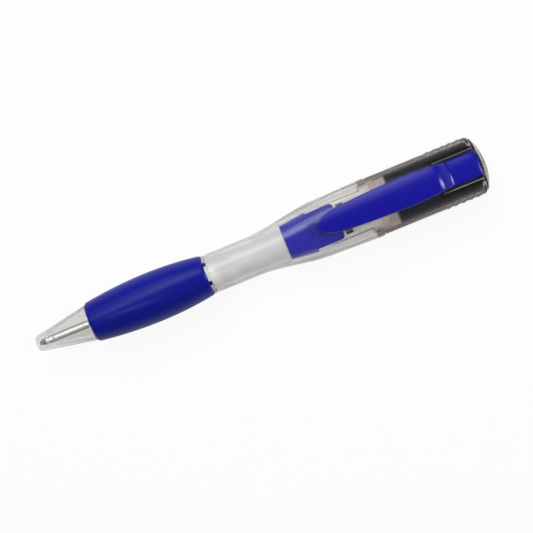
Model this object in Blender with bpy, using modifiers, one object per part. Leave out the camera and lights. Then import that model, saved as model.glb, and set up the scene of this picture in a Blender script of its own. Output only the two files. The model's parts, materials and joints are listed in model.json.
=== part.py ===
"""Flash drive pen: a twist-action ballpoint pen whose rear end is a pull-off USB drive with a pocket clip.

The pen lies on its back along X, tip at -X, clip on top. Metres, +Z up. Pieces are drawn in pen
coordinates: station from the tip, sideways, and height above the pen's axis.
"""

from math import cos, pi, radians, sin, sqrt, tau

import bmesh
import bpy
from mathutils import Matrix, Vector

# Lengths along the pen, in order from the tip
NOSE_LENGTH = 0.0176
GRIP_LENGTH = 0.0379
FLANGE_LENGTH = 0.0008
BARREL_LENGTH = 0.0526
HOUSING_LENGTH = 0.0355

# Clearances
JOINT_GAP = 0.0003
SLIDE_CLEARANCE = 0.0002
SEAT_CLEARANCE = 0.00015
FINE_CLEARANCE = 0.00006

# Front barrel: clear nose cone, grip seat, notched flange and journal
NOSE_ROUND_LENGTH = 0.0018
NOSE_TIP_RADIUS = 0.0026
NOSE_BASE_RADIUS = 0.0056
GUIDE_CLEARANCE = 0.000125
GUIDE_BORE_LENGTH = 0.0050
GUIDE_LEAD_IN = 0.0010
GRIP_SEAT_RADIUS = 0.0050
GRIP_SEAT_WALL = 0.0012
FLANGE_RADIUS = 0.0060
JOURNAL_LENGTH = 0.0047
JOURNAL_WALL = 0.0006
SNAP_BEAD_HEIGHT = 0.00025
SNAP_BEAD_WIDTH = 0.0012

# Grip sleeve
GRIP_FRONT_RADIUS = 0.0061
GRIP_REAR_RADIUS = 0.0062
GRIP_MIDDLE_RADIUS = 0.00765
GRIP_PEAK_FROM_FRONT = 0.0203
GRIP_EDGE_ROUND = 0.0008
GRIP_LUG_COUNT = 6
GRIP_LUG_WIDTH = 0.0012
GRIP_LUG_HEIGHT = 0.0006
GRIP_LUG_ROOT = 0.0010

# Rear barrel: round neck flaring to the oval cap of the plug
NECK_RADIUS = 0.00602
NECK_LENGTH = 0.0134
NECK_WALL = 0.00102
FLARE_LENGTH = 0.0235
CAP_TAPER = 0.00047
LIP_PROUD = 0.00022
LIP_LENGTH = 0.0018
EDGE_ROUND = 0.0003
OVAL_TOP = 0.0066
OVAL_BOTTOM = 0.0082
OVAL_EXPONENT = 2.4
MOUTH_WALL = 0.0015
BORE_LENGTH = 0.0170
BORE_FLARE_LENGTH = 0.0254

# Twist mechanism
CAM_RADIUS = 0.0040
CAM_WALL = 0.0008
CAM_LAND_LENGTH = 0.0015
CAM_START_GAP = 0.0020
TWIST_ANGLE = radians(180.0)
REFILL_TRAVEL = 0.0045
FOLLOWER_RADIUS = 0.0006
FOLLOWER_FROM_CAM_END = 0.0100
PLUNGER_RADIUS = 0.0020
PLUNGER_FLAT = 0.0016
PLUNGER_HEAD_LENGTH = 0.0030
PLUNGER_SOCKET_FLOOR = 0.0011
PLUNGER_NOSE_LENGTH = 0.0010
COLLAR_RING_LENGTH = 0.0035
COLLAR_NECK_WALL = 0.0004

# Refill
REFILL_RADIUS = 0.001175
REFILL_WALL = 0.0002
TIP_SET_BACK = 0.0008
TIP_POINT_WALL = 0.00012
TIP_POINT_LENGTH = 0.0003
TIP_CONE_LENGTH = 0.0016
TIP_SHOULDER_LENGTH = 0.0010
TIP_SPIGOT_LENGTH = 0.0030
INK_CHANNEL_RADIUS = 0.0003
BALL_RADIUS = 0.0005
BALL_CLEARANCE = 0.00006
BALL_SHOWING = 0.0002
INK_FROM_REAR = 0.0145

# USB plug
PLUG_WIDTH = 0.0120
PLUG_HEIGHT = 0.0045
PLUG_WALL = 0.0003
PLUG_CORNER = 0.0006
PLUG_SHOWING = 0.0135
PLUG_INSIDE = 0.0029
PLUG_WINDOW = 0.0022
PLUG_WINDOW_PITCH = 0.0073
PLUG_WINDOW_FROM_FRONT = 0.0064
TONGUE_SET_BACK = 0.0010
TONGUE_TOP = -0.0003
CONTACT_PITCHES = (-0.0035, -0.0010, 0.0010, 0.0035)
CONTACT_WIDTH = 0.0010
CONTACT_THICKNESS = 0.00025
POWER_CONTACT_SET_BACK = 0.0012
SIGNAL_CONTACT_SET_BACK = 0.0022
CONTACT_TAIL_ON_BOARD = 0.0018

# Plug holder: the insert in the barrel with two flaps over the plug
HOLDER_LENGTH = 0.0085
HOLDER_CLEARANCE = 0.00028
HOLDER_FRONT_WALL = 0.0015
HOLDER_SIDE_WALL = 0.0012
FLAP_LENGTH = 0.0086
FLAP_HALF_WIDTH = 0.0055
FLAP_THICKNESS = 0.0020
FLAP_CORNER = 0.0011
FLAP_ROOT = 0.0012
FLAP_GRIP = 0.0045

# Drive housing, a cup with a domed end
HOUSING_HALF_WIDTH = 0.0090
HOUSING_WALL = 0.0010
DOME_RADIUS = 0.0165
DOME_EDGE_ROUND = 0.0008
EDGE_RIB_COUNT = 5
EDGE_RIB_PITCH = 0.0024
EDGE_RIB_RADIUS = 0.0009
EDGE_RIB_HEIGHT = 0.00022
EDGE_RIB_LENGTH = 0.0048
EDGE_RIBS_FROM_END = 0.0103
SPIGOT_LENGTH = 0.0024
BEZEL_SEAT_LENGTH = 0.0022

# Circuit board and what is soldered on it
BOARD_FROM_FRONT = 0.0057
BOARD_FROM_END = 0.0033
BOARD_THICKNESS = 0.0010
BOARD_CHAMFER = 0.0016
LEDGE_CHIP_GAP = 0.0007
SOLDER_GAP = 0.0001
FLASH_CHIP_SIZE = (0.0184, 0.0120, 0.0010)
FLASH_CHIP_FROM_FRONT = 0.0125
CONTROLLER_SIZE = (0.0070, 0.0070, 0.0011)
CONTROLLER_FROM_FRONT = 0.0078
CRYSTAL_SIZE = (0.0032, 0.0025, 0.0008)
CRYSTAL_FROM_FRONT = 0.0141
LED_SIZE = (0.0016, 0.0008, 0.0007)
LED_FROM_REAR = 0.0030
CAPACITOR_SIZE = (0.0010, 0.0018, 0.0008)
CAPACITOR_COUNT = 3
CAPACITOR_PITCH = 0.0018
CAPACITORS_FROM_FRONT = 0.0176
CHIP_EDGE = 0.00012

# Black cover over the board, under the housing's top
COVER_CHAMFER = 0.0012
COVER_WALL = 0.0013
COVER_FRONT_WALL = 0.0022
COVER_CONTACT_SLOT = 0.0010
COVER_PART_ROOM = 0.0014

# Clip: a root plate in the housing's pocket and a springy arm over the barrel
CLIP_REACH = 0.05165
CLIP_TIP_HALF_WIDTH = 0.00395
CLIP_ARM_HALF_WIDTH = 0.0046
CLIP_NECK_HALF_WIDTH = 0.0039
CLIP_TIP_TAPER = 0.0110
CLIP_WIDEST_FROM_TIP = 0.0304
CLIP_THICKNESS = 0.0011
CLIP_CROWN = 0.0006
CLIP_AIR_GAP = 0.0004
CLIP_BEND_LENGTH = 0.0044
CLIP_ROOT_LENGTH = 0.00965
CLIP_NUB_LENGTH = 0.0050
CLIP_NUB_DEPTH = 0.0003
CLIP_NUB_FROM_TIP = 0.0060
CLIP_HINGE_GAP = 0.0003
CLIP_PEG_RADIUS = 0.0007
CLIP_PEG_LENGTH = 0.0008
CLIP_PEG_PITCH = 0.0040
POCKET_HALF_WIDTH = 0.0047
POCKET_LENGTH = 0.0133
POCKET_DEPTH = 0.0020
POCKET_FROM_END = 0.0023
POCKET_WALL = 0.0010

# Facets
TURN_STEPS = 36
PIN_STEPS = 16
OVAL_POINTS = 36
CLIP_SECTION_POINTS = 7

# Stations worked out from the lengths
NOSE_END = NOSE_LENGTH
GRIP_END = NOSE_END + GRIP_LENGTH
FLANGE_END = GRIP_END + FLANGE_LENGTH
JOURNAL_END = FLANGE_END + JOURNAL_LENGTH
BARREL_START = FLANGE_END + JOINT_GAP
BARREL_END = BARREL_START + BARREL_LENGTH
HOUSING_START = BARREL_END + JOINT_GAP
HOUSING_END = HOUSING_START + HOUSING_LENGTH
FLARE_START = BARREL_START + NECK_LENGTH
FLARE_END = FLARE_START + FLARE_LENGTH
SPIGOT_START = HOUSING_START - JOINT_GAP - SPIGOT_LENGTH
PLUG_FRONT = SPIGOT_START - PLUG_SHOWING
PLUG_REAR = SPIGOT_START + SPIGOT_LENGTH + PLUG_INSIDE
FLAP_END = PLUG_FRONT + FLAP_GRIP
HOLDER_END = FLAP_END - FLAP_LENGTH
HOLDER_START = HOLDER_END - HOLDER_LENGTH
CAM_START = FLANGE_END + CAM_START_GAP
CAM_END = HOLDER_START - JOINT_GAP
BORE_END = BARREL_START + BORE_LENGTH
BORE_FLARE_END = BORE_END + BORE_FLARE_LENGTH
SNAP_BEAD = FLANGE_END + 0.5 * JOURNAL_LENGTH
FOLLOWER = CAM_END - FOLLOWER_FROM_CAM_END
PLUNGER_HEAD = FOLLOWER - 0.5 * PLUNGER_HEAD_LENGTH
PLUNGER_REAR = FOLLOWER + 0.5 * PLUNGER_HEAD_LENGTH
PLUNGER_FRONT = FLANGE_END - COLLAR_RING_LENGTH - PLUNGER_NOSE_LENGTH
SOCKET_END = PLUNGER_HEAD - PLUNGER_SOCKET_FLOOR
REFILL_REAR = SOCKET_END - SEAT_CLEARANCE
BALL_CENTRE = TIP_SET_BACK + BALL_RADIUS
TIP_CONE_START = BALL_CENTRE + TIP_POINT_LENGTH
TIP_CONE_END = TIP_CONE_START + TIP_CONE_LENGTH
TUBE_FRONT = TIP_CONE_END + TIP_SHOULDER_LENGTH
TIP_REAR = TUBE_FRONT + TIP_SPIGOT_LENGTH
INK_REAR = REFILL_REAR - INK_FROM_REAR
BOARD_FRONT = HOUSING_START + BOARD_FROM_FRONT
BOARD_REAR = HOUSING_END - BOARD_FROM_END
POCKET_END = HOUSING_END - POCKET_FROM_END
POCKET_START = POCKET_END - POCKET_LENGTH
CLIP_ROOT_END = POCKET_END - SEAT_CLEARANCE
CLIP_HINGE = CLIP_ROOT_END - CLIP_ROOT_LENGTH
CLIP_TIP = CLIP_ROOT_END - CLIP_REACH

# Heights and radii worked out from the sizes
AXIS_HEIGHT = GRIP_MIDDLE_RADIUS
GUIDE_BORE_RADIUS = REFILL_RADIUS + GUIDE_CLEARANCE
GRIP_BORE = GRIP_SEAT_RADIUS + SEAT_CLEARANCE
NECK_BORE = NECK_RADIUS - NECK_WALL
CAM_BORE = CAM_RADIUS - CAM_WALL
PLUNGER_HEAD_RADIUS = CAM_BORE - SLIDE_CLEARANCE
TUBE_BORE = REFILL_RADIUS - REFILL_WALL
JOURNAL_RADIUS = NECK_BORE - SEAT_CLEARANCE
SEAT_BORE = GRIP_SEAT_RADIUS - GRIP_SEAT_WALL
LIP_HALF_WIDTH = HOUSING_HALF_WIDTH + LIP_PROUD
CAP_HALF_WIDTH = LIP_HALF_WIDTH - CAP_TAPER
MOUTH_HALF_WIDTH = LIP_HALF_WIDTH - MOUTH_WALL
MOUTH_TOP = OVAL_TOP - MOUTH_WALL
MOUTH_BOTTOM = AXIS_HEIGHT - MOUTH_WALL
HOUSING_TOP = OVAL_TOP
CAVITY_HALF_WIDTH = HOUSING_HALF_WIDTH - HOUSING_WALL
CAVITY_TOP = HOUSING_TOP - HOUSING_WALL
CAVITY_BOTTOM = AXIS_HEIGHT - HOUSING_WALL
CONTACT_BOTTOM = TONGUE_TOP - CONTACT_THICKNESS
BOARD_TOP = CONTACT_BOTTOM - SOLDER_GAP
BOARD_BOTTOM = BOARD_TOP - BOARD_THICKNESS
POCKET_FLOOR = HOUSING_TOP - POCKET_DEPTH
COVER_BOTTOM = BOARD_TOP + FINE_CLEARANCE
COVER_CEILING = BOARD_TOP + SOLDER_GAP + CONTROLLER_SIZE[2] + COVER_PART_ROOM
CLIP_ROOT_BOTTOM = POCKET_FLOOR + SEAT_CLEARANCE
CLIP_ARM_BOTTOM = OVAL_TOP + CLIP_AIR_GAP + CLIP_NUB_DEPTH
FLAP_BOTTOM = 0.5 * PLUG_HEIGHT + SLIDE_CLEARANCE
FLAP_TOP = FLAP_BOTTOM + FLAP_THICKNESS

TOTAL_LENGTH = HOUSING_END
PEN_ORIGIN = Vector((-0.5 * TOTAL_LENGTH, 0.0, AXIS_HEIGHT))

# Colours as (red, green, blue), roughness, metallic, alpha
FINISHES = {
    "clear_plastic": ((0.90, 0.90, 0.89), 0.08, 0.0, 0.35),
    "frosted_plastic": ((0.78, 0.77, 0.75), 0.45, 0.0, 0.55),
    "smoke_plastic": ((0.42, 0.38, 0.36), 0.08, 0.0, 0.40),
    "blue_rubber": ((0.014, 0.017, 0.24), 0.55, 0.0, 1.0),
    "blue_plastic": ((0.014, 0.014, 0.32), 0.18, 0.0, 1.0),
    "white_plastic": ((0.80, 0.79, 0.76), 0.40, 0.0, 1.0),
    "grey_plastic": ((0.30, 0.30, 0.31), 0.45, 0.0, 1.0),
    "steel": ((0.62, 0.60, 0.57), 0.25, 1.0, 1.0),
    "gold": ((0.86, 0.62, 0.24), 0.25, 1.0, 1.0),
    "ink": ((0.005, 0.007, 0.06), 0.30, 0.0, 1.0),
    "board_black": ((0.012, 0.014, 0.018), 0.35, 0.0, 1.0),
    "chip_black": ((0.020, 0.020, 0.022), 0.50, 0.0, 1.0),
    "black_plastic": ((0.010, 0.011, 0.014), 0.25, 0.0, 1.0),
    "ceramic": ((0.48, 0.33, 0.20), 0.45, 0.0, 1.0),
    "led_lens": ((0.85, 0.83, 0.72), 0.15, 0.0, 1.0),
}


def new_collection(name):
    """A collection in the scene for the parts, or for the cutters."""
    collection = bpy.data.collections.new(name)
    bpy.context.scene.collection.children.link(collection)
    return collection


def clear_scene():
    """Start from an empty scene."""
    for old in list(bpy.data.objects):
        bpy.data.objects.remove(old, do_unlink=True)


clear_scene()
PARTS = new_collection("flash_drive_pen")
CUTTERS = new_collection("cutters")


def material(finish):
    """The Principled material of a finish, made once."""
    found = bpy.data.materials.get(finish)
    if found:
        return found
    colour, roughness, metallic, alpha = FINISHES[finish]
    made = bpy.data.materials.new(finish)
    made.use_nodes = True
    shader = made.node_tree.nodes["Principled BSDF"]
    shader.inputs["Base Color"].default_value = (*colour, 1.0)
    shader.inputs["Roughness"].default_value = roughness
    shader.inputs["Metallic"].default_value = metallic
    shader.inputs["Alpha"].default_value = alpha
    return made


def world_place(item):
    """World location of an unrotated empty or of nothing."""
    place = Vector((0.0, 0.0, 0.0))
    while item:
        place += item.location
        item = item.parent
    return place


def joint_empty(name, station, height, parent):
    """An empty on a joint's axis, which carries the pieces that move together."""
    empty = bpy.data.objects.new(name, None)
    PARTS.objects.link(empty)
    empty.empty_display_size = NECK_RADIUS
    empty.parent = parent
    empty.location = PEN_ORIGIN + Vector((station, 0.0, height)) - world_place(parent)
    return empty


def add_piece(name, mesh, finish, carrier):
    """A visible sub-part, drawn in pen coordinates and carried by a joint's empty."""
    piece = bpy.data.objects.new(name, mesh)
    PARTS.objects.link(piece)
    mesh.materials.append(material(finish))
    piece.parent = carrier
    piece.location = PEN_ORIGIN - world_place(carrier)
    return piece


def add_cutter(name, mesh):
    """A hidden solid that another piece is cut by or joined with."""
    cutter = bpy.data.objects.new(name, mesh)
    CUTTERS.objects.link(cutter)
    cutter.location = PEN_ORIGIN
    cutter.hide_render = True
    cutter.display_type = "WIRE"
    return cutter


def combine(piece, other, operation):
    """Join another solid to a piece, or cut the piece with it."""
    boolean = piece.modifiers.new(other.name, "BOOLEAN")
    boolean.operation = operation
    boolean.object = other


def finish_mesh(shape, name):
    """Write a bmesh to a new mesh with its faces pointing out, shaded smooth apart from sharp edges."""
    bmesh.ops.recalc_face_normals(shape, faces=shape.faces)
    mesh = bpy.data.meshes.new(name)
    shape.to_mesh(mesh)
    shape.free()
    mesh.shade_smooth()
    mesh.set_sharp_from_angle(angle=radians(35.0))
    return mesh


def loft(name, rings, closed=False):
    """A skin over rings of equal counts. A closed loft runs back to its first ring, as a tube's wall does."""
    shape = bmesh.new()
    loops = [[shape.verts.new(point) for point in ring] for ring in rings]
    pairs = list(zip(loops, loops[1:]))
    if closed:
        pairs.append((loops[-1], loops[0]))
    else:
        shape.faces.new(loops[0])
        shape.faces.new(loops[-1])
    for near, far in pairs:
        for i in range(len(near)):
            after = (i + 1) % len(near)
            shape.faces.new((near[i], near[after], far[after], far[i]))
    return finish_mesh(shape, name)


def prism(name, outline, low, high):
    """An outline of (station, sideways) points, raised from one height to another."""
    return loft(name, [[(s, y, z) for s, y in outline] for z in (low, high)])


def box(name, low, high):
    """A box between two corners."""
    size = [b - a for a, b in zip(low, high)]
    middle = [0.5 * (a + b) for a, b in zip(low, high)]
    shape = bmesh.new()
    bmesh.ops.create_cube(shape, size=1.0)
    bmesh.ops.scale(shape, vec=size, verts=shape.verts)
    bmesh.ops.translate(shape, vec=middle, verts=shape.verts)
    return finish_mesh(shape, name)


def cylinder(name, radius, length, place):
    """A hidden upright cylinder, moved to its place, to cut with or to join."""
    shape = bmesh.new()
    bmesh.ops.create_cone(
        shape, cap_ends=True, segments=PIN_STEPS, radius1=radius, radius2=radius, depth=length
    )
    bmesh.ops.transform(shape, matrix=place, verts=shape.verts)
    return add_cutter(name, finish_mesh(shape, name))


def turn(piece):
    """Turn a profile about the pen's axis."""
    screw = piece.modifiers.new("turn", "SCREW")
    screw.axis = "Z"
    screw.angle = tau
    screw.steps = TURN_STEPS
    screw.render_steps = TURN_STEPS
    screw.use_merge_vertices = True
    screw.merge_threshold = 1e-6
    piece.rotation_euler = (0.0, 0.5 * pi, 0.0)


def profile(name, points):
    """A turning profile of (station, radius), along its outer side from the tip and back along its bore.

    A profile that starts and ends on the axis stays open.
    """
    solid = points[0][1] == 0.0 and points[-1][1] == 0.0
    count = len(points)
    edges = [(i, i + 1) for i in range(count - 1)]
    if not solid:
        edges.append((count - 1, 0))
    mesh = bpy.data.meshes.new(name)
    mesh.from_pydata([(radius, 0.0, station) for station, radius in reversed(points)], edges, [])
    return mesh


def signed_power(value, power):
    """A power that keeps the sign."""
    return abs(value) ** power * (1.0 if value >= 0.0 else -1.0)


def oval_ring(station, half_width, top, bottom, exponent=2.0, floor=AXIS_HEIGHT):
    """A squarish oval across the pen, cut flat where it would reach below its floor."""
    ring = []
    for i in range(OVAL_POINTS):
        angle = tau * i / OVAL_POINTS
        height = top if sin(angle) >= 0.0 else bottom
        y = half_width * signed_power(cos(angle), 2.0 / exponent)
        z = height * signed_power(sin(angle), 2.0 / exponent)
        ring.append((station, y, max(z, -floor)))
    return ring


def circle_ring(station, radius):
    """A round ring with the facets of the ovals."""
    return oval_ring(station, radius, radius, radius, floor=radius)


def double_d_ring(station, radius, flat):
    """A round ring with a flat above and below."""
    return [(s, y, max(-flat, min(flat, z))) for s, y, z in circle_ring(station, radius)]


def oval_reach(half_width, height, exponent, z):
    """Half the width of an oval at a height."""
    return half_width * (1.0 - (abs(z) / height) ** exponent) ** (1.0 / exponent)


def smooth(share):
    """Ease from 0 to 1."""
    share = max(0.0, min(1.0, share))
    return share * share * (3.0 - 2.0 * share)


def steps_between(first, last, count):
    """Evenly spaced values from first to last."""
    return [first + (last - first) * i / count for i in range(count + 1)]


def dome_drop(sideways):
    """How far the domed end falls back at a distance from the axis."""
    return DOME_RADIUS - sqrt(DOME_RADIUS ** 2 - sideways ** 2)


def rounded_rectangle(station, half_width, half_height, corner, corner_steps=3):
    """A rectangle across the pen with round corners."""
    ring = []
    for quarter in range(4):
        side = 1.0 if quarter in (0, 3) else -1.0
        rise = 1.0 if quarter in (0, 1) else -1.0
        for step in range(corner_steps + 1):
            angle = 0.5 * pi * (quarter + step / corner_steps)
            y = side * (half_width - corner) + corner * cos(angle)
            z = rise * (half_height - corner) + corner * sin(angle)
            ring.append((station, y, z))
    return ring


def front_barrel(carrier):
    """Clear moulding: nose cone, seat of the grip, notched flange, and journal with a snap bead."""
    nose_face = GUIDE_BORE_RADIUS + FINE_CLEARANCE
    nose_round = [
        (NOSE_ROUND_LENGTH * (1.0 - cos(t)), nose_face + (NOSE_TIP_RADIUS - nose_face) * sin(t))
        for t in steps_between(0.0, 0.5 * pi, 6)
    ]
    outside = nose_round + [
        (NOSE_END, NOSE_BASE_RADIUS),
        (NOSE_END, GRIP_SEAT_RADIUS),
        (GRIP_END, GRIP_SEAT_RADIUS),
        (GRIP_END, FLANGE_RADIUS),
        (FLANGE_END, FLANGE_RADIUS),
        (FLANGE_END, JOURNAL_RADIUS),
        (SNAP_BEAD - 0.5 * SNAP_BEAD_WIDTH, JOURNAL_RADIUS),
        (SNAP_BEAD, JOURNAL_RADIUS + SNAP_BEAD_HEIGHT),
        (SNAP_BEAD + 0.5 * SNAP_BEAD_WIDTH, JOURNAL_RADIUS),
        (JOURNAL_END, JOURNAL_RADIUS),
    ]
    inside = [
        (JOURNAL_END, JOURNAL_RADIUS - JOURNAL_WALL),
        (FLANGE_END, JOURNAL_RADIUS - JOURNAL_WALL),
        (FLANGE_END, SEAT_BORE),
        (NOSE_END, SEAT_BORE),
        (GUIDE_BORE_LENGTH + GUIDE_LEAD_IN, GUIDE_BORE_RADIUS + 0.5 * GUIDE_LEAD_IN),
        (GUIDE_BORE_LENGTH, GUIDE_BORE_RADIUS),
        (0.0, GUIDE_BORE_RADIUS),
    ]
    piece = add_piece("front_barrel", profile("front_barrel", outside + inside), "clear_plastic", carrier)
    turn(piece)
    for i in range(GRIP_LUG_COUNT):
        combine(piece, lug(f"flange_notch_{i + 1}", i, SEAT_CLEARANCE), "DIFFERENCE")


def lug(name, index, clearance):
    """A key between grip and flange, or with clearance, the notch that it sits in."""
    half_width = 0.5 * GRIP_LUG_WIDTH + clearance
    low = GRIP_BORE + SEAT_CLEARANCE - clearance
    high = FLANGE_RADIUS + GRIP_LUG_HEIGHT if clearance else GRIP_BORE + SEAT_CLEARANCE + GRIP_LUG_HEIGHT
    front = GRIP_END - clearance if clearance else GRIP_END - GRIP_LUG_ROOT
    rear = FLANGE_END + clearance if clearance else FLANGE_END - FINE_CLEARANCE
    cutter = add_cutter(name, box(name, (front, -half_width, low), (rear, half_width, high)))
    cutter.rotation_euler = (tau * (index + 0.5) / GRIP_LUG_COUNT, 0.0, 0.0)
    return cutter


def grip_radius(station):
    """The grip swells in two parabolas to its widest place."""
    from_peak = station - (NOSE_END + GRIP_PEAK_FROM_FRONT)
    if from_peak < 0.0:
        share = from_peak / GRIP_PEAK_FROM_FRONT
        return GRIP_MIDDLE_RADIUS - (GRIP_MIDDLE_RADIUS - GRIP_FRONT_RADIUS) * share ** 2
    share = from_peak / (GRIP_LENGTH - GRIP_PEAK_FROM_FRONT)
    return GRIP_MIDDLE_RADIUS - (GRIP_MIDDLE_RADIUS - GRIP_REAR_RADIUS) * share ** 2


def grip_sleeve(carrier):
    """Rubber sleeve with rounded ends, keyed to the flange by lugs."""
    front = NOSE_END + SEAT_CLEARANCE
    rear = GRIP_END - SEAT_CLEARANCE
    peak = NOSE_END + GRIP_PEAK_FROM_FRONT
    swell = steps_between(front + GRIP_EDGE_ROUND, peak, 6)
    swell += steps_between(peak, rear - GRIP_EDGE_ROUND, 6)[1:]
    turns = steps_between(0.0, 0.5 * pi, 3)
    points = []
    for t in turns[:-1]:
        drop = GRIP_EDGE_ROUND * (1.0 - sin(t))
        points.append((front + GRIP_EDGE_ROUND * (1.0 - cos(t)), grip_radius(swell[0]) - drop))
    points += [(station, grip_radius(station)) for station in swell]
    for t in turns[1:]:
        drop = GRIP_EDGE_ROUND * (1.0 - cos(t))
        points.append((rear - GRIP_EDGE_ROUND * (1.0 - sin(t)), grip_radius(swell[-1]) - drop))
    points += [(rear, GRIP_BORE), (front, GRIP_BORE)]
    piece = add_piece("grip_sleeve", profile("grip_sleeve", points), "blue_rubber", carrier)
    turn(piece)
    for i in range(GRIP_LUG_COUNT):
        combine(piece, lug(f"grip_lug_{i + 1}", i, 0.0), "UNION")


def barrel_half_width(station):
    """Half the barrel's width: a round neck, an eased flare and a cap that opens slowly to its lip."""
    if station < FLARE_END:
        return NECK_RADIUS + (CAP_HALF_WIDTH - NECK_RADIUS) * smooth((station - FLARE_START) / FLARE_LENGTH)
    share = (station - FLARE_END) / (BARREL_END - LIP_LENGTH - FLARE_END)
    return CAP_HALF_WIDTH + (LIP_HALF_WIDTH - CAP_HALF_WIDTH) * min(share, 1.0)


def barrel_ring(station, inset=0.0):
    """The barrel's outside, which turns from round to oval as it widens."""
    half_width = barrel_half_width(station)
    share = (half_width - NECK_RADIUS) / (LIP_HALF_WIDTH - NECK_RADIUS)
    top = NECK_RADIUS + (OVAL_TOP - NECK_RADIUS) * share
    bottom = NECK_RADIUS + (OVAL_BOTTOM - NECK_RADIUS) * share
    exponent = 2.0 + (OVAL_EXPONENT - 2.0) * share
    return oval_ring(station, half_width - inset, top - inset, bottom - inset, exponent, AXIS_HEIGHT - inset)


def bore_sizes(station):
    """Half-width, top, bottom and exponent of the barrel's inside."""
    share = max(0.0, min(1.0, (station - BORE_END) / BORE_FLARE_LENGTH))
    half_width = NECK_BORE + (MOUTH_HALF_WIDTH - NECK_BORE) * share
    top = NECK_BORE + (MOUTH_TOP - NECK_BORE) * share
    bottom = NECK_BORE + (MOUTH_BOTTOM - NECK_BORE) * share
    return half_width, top, bottom, 2.0 + (OVAL_EXPONENT - 2.0) * share


def bore_ring(station, inset=0.0):
    """The barrel's inside, or with an inset, a piece that fits in it."""
    half_width, top, bottom, exponent = bore_sizes(station)
    return oval_ring(station, half_width - inset, top - inset, bottom - inset, exponent)


def rear_barrel(carrier):
    """Frosted barrel, open at both ends, with a groove for the journal's bead."""
    flare = steps_between(FLARE_START, FLARE_END, 10)
    lip = BARREL_END - LIP_LENGTH
    outside = [barrel_ring(BARREL_START, EDGE_ROUND), barrel_ring(BARREL_START + EDGE_ROUND)]
    outside += [barrel_ring(station) for station in flare + [lip, BARREL_END - EDGE_ROUND]]
    outside.append(barrel_ring(BARREL_END, EDGE_ROUND))
    stations = [BARREL_END, BORE_FLARE_END, FLAP_END, HOLDER_END, HOLDER_START, BORE_END]
    stations.sort(reverse=True)
    groove = 0.5 * SNAP_BEAD_WIDTH + JOINT_GAP
    inside = [bore_ring(station) for station in stations]
    inside.append(circle_ring(SNAP_BEAD + groove, NECK_BORE))
    inside.append(circle_ring(SNAP_BEAD, JOURNAL_RADIUS + SNAP_BEAD_HEIGHT + SEAT_CLEARANCE))
    inside.append(circle_ring(SNAP_BEAD - groove, NECK_BORE))
    inside.append(circle_ring(BARREL_START, NECK_BORE))
    add_piece("rear_barrel", loft("rear_barrel", outside + inside, closed=True), "frosted_plastic", carrier)


def cam_slot():
    """The helical slot that drives the follower: the travel of the refill over the twist's angle."""
    slope = REFILL_TRAVEL / (TWIST_ANGLE * CAM_RADIUS)
    half_width = (FOLLOWER_RADIUS + SLIDE_CLEARANCE) * sqrt(1.0 + slope ** 2)
    end_angle = (FOLLOWER_RADIUS + SLIDE_CLEARANCE) / CAM_BORE
    rings = []
    for angle in steps_between(-end_angle, TWIST_ANGLE + end_angle, 24):
        station = FOLLOWER - REFILL_TRAVEL * angle / TWIST_ANGLE
        across = Vector((0.0, cos(angle), sin(angle)))
        along = Vector((half_width, 0.0, 0.0))
        inner = Vector((station, 0.0, 0.0)) + across * (CAM_BORE - CAM_WALL)
        outer = Vector((station, 0.0, 0.0)) + across * NECK_BORE
        rings.append([inner - along, outer - along, outer + along, inner + along])
    return add_cutter("cam_slot", loft("cam_slot", rings))


def twist_cam_tube(carrier):
    """Tube fixed in the barrel by two lands, with the helical slot of the twist action."""
    land = NECK_BORE - SEAT_CLEARANCE
    front_land = JOURNAL_END + JOINT_GAP
    rear_land = BORE_END - JOINT_GAP
    points = [
        (CAM_START, CAM_RADIUS),
        (front_land, CAM_RADIUS),
        (front_land, land),
        (front_land + CAM_LAND_LENGTH, land),
        (front_land + CAM_LAND_LENGTH, CAM_RADIUS),
        (rear_land - CAM_LAND_LENGTH, CAM_RADIUS),
        (rear_land - CAM_LAND_LENGTH, land),
        (rear_land, land),
        (rear_land, CAM_RADIUS),
        (CAM_END, CAM_RADIUS),
        (CAM_END, CAM_BORE),
        (CAM_START, CAM_BORE),
    ]
    piece = add_piece("twist_cam_tube", profile("twist_cam_tube", points), "grey_plastic", carrier)
    turn(piece)
    combine(piece, cam_slot(), "DIFFERENCE")


def key_collar(carrier):
    """Collar pressed into the front barrel, whose double-D hole turns the plunger."""
    front = FLANGE_END - COLLAR_RING_LENGTH
    rear = CAM_START - JOINT_GAP
    ring_radius = SEAT_BORE - FINE_CLEARANCE
    hole_radius = PLUNGER_RADIUS + SLIDE_CLEARANCE
    hole_flat = PLUNGER_FLAT + SLIDE_CLEARANCE
    neck_radius = hole_radius + COLLAR_NECK_WALL
    rings = [
        circle_ring(front, ring_radius),
        circle_ring(FLANGE_END, ring_radius),
        circle_ring(FLANGE_END, neck_radius),
        circle_ring(rear, neck_radius),
        double_d_ring(rear, hole_radius, hole_flat),
        double_d_ring(front, hole_radius, hole_flat),
    ]
    add_piece("key_collar", loft("key_collar", rings, closed=True), "white_plastic", carrier)


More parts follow.
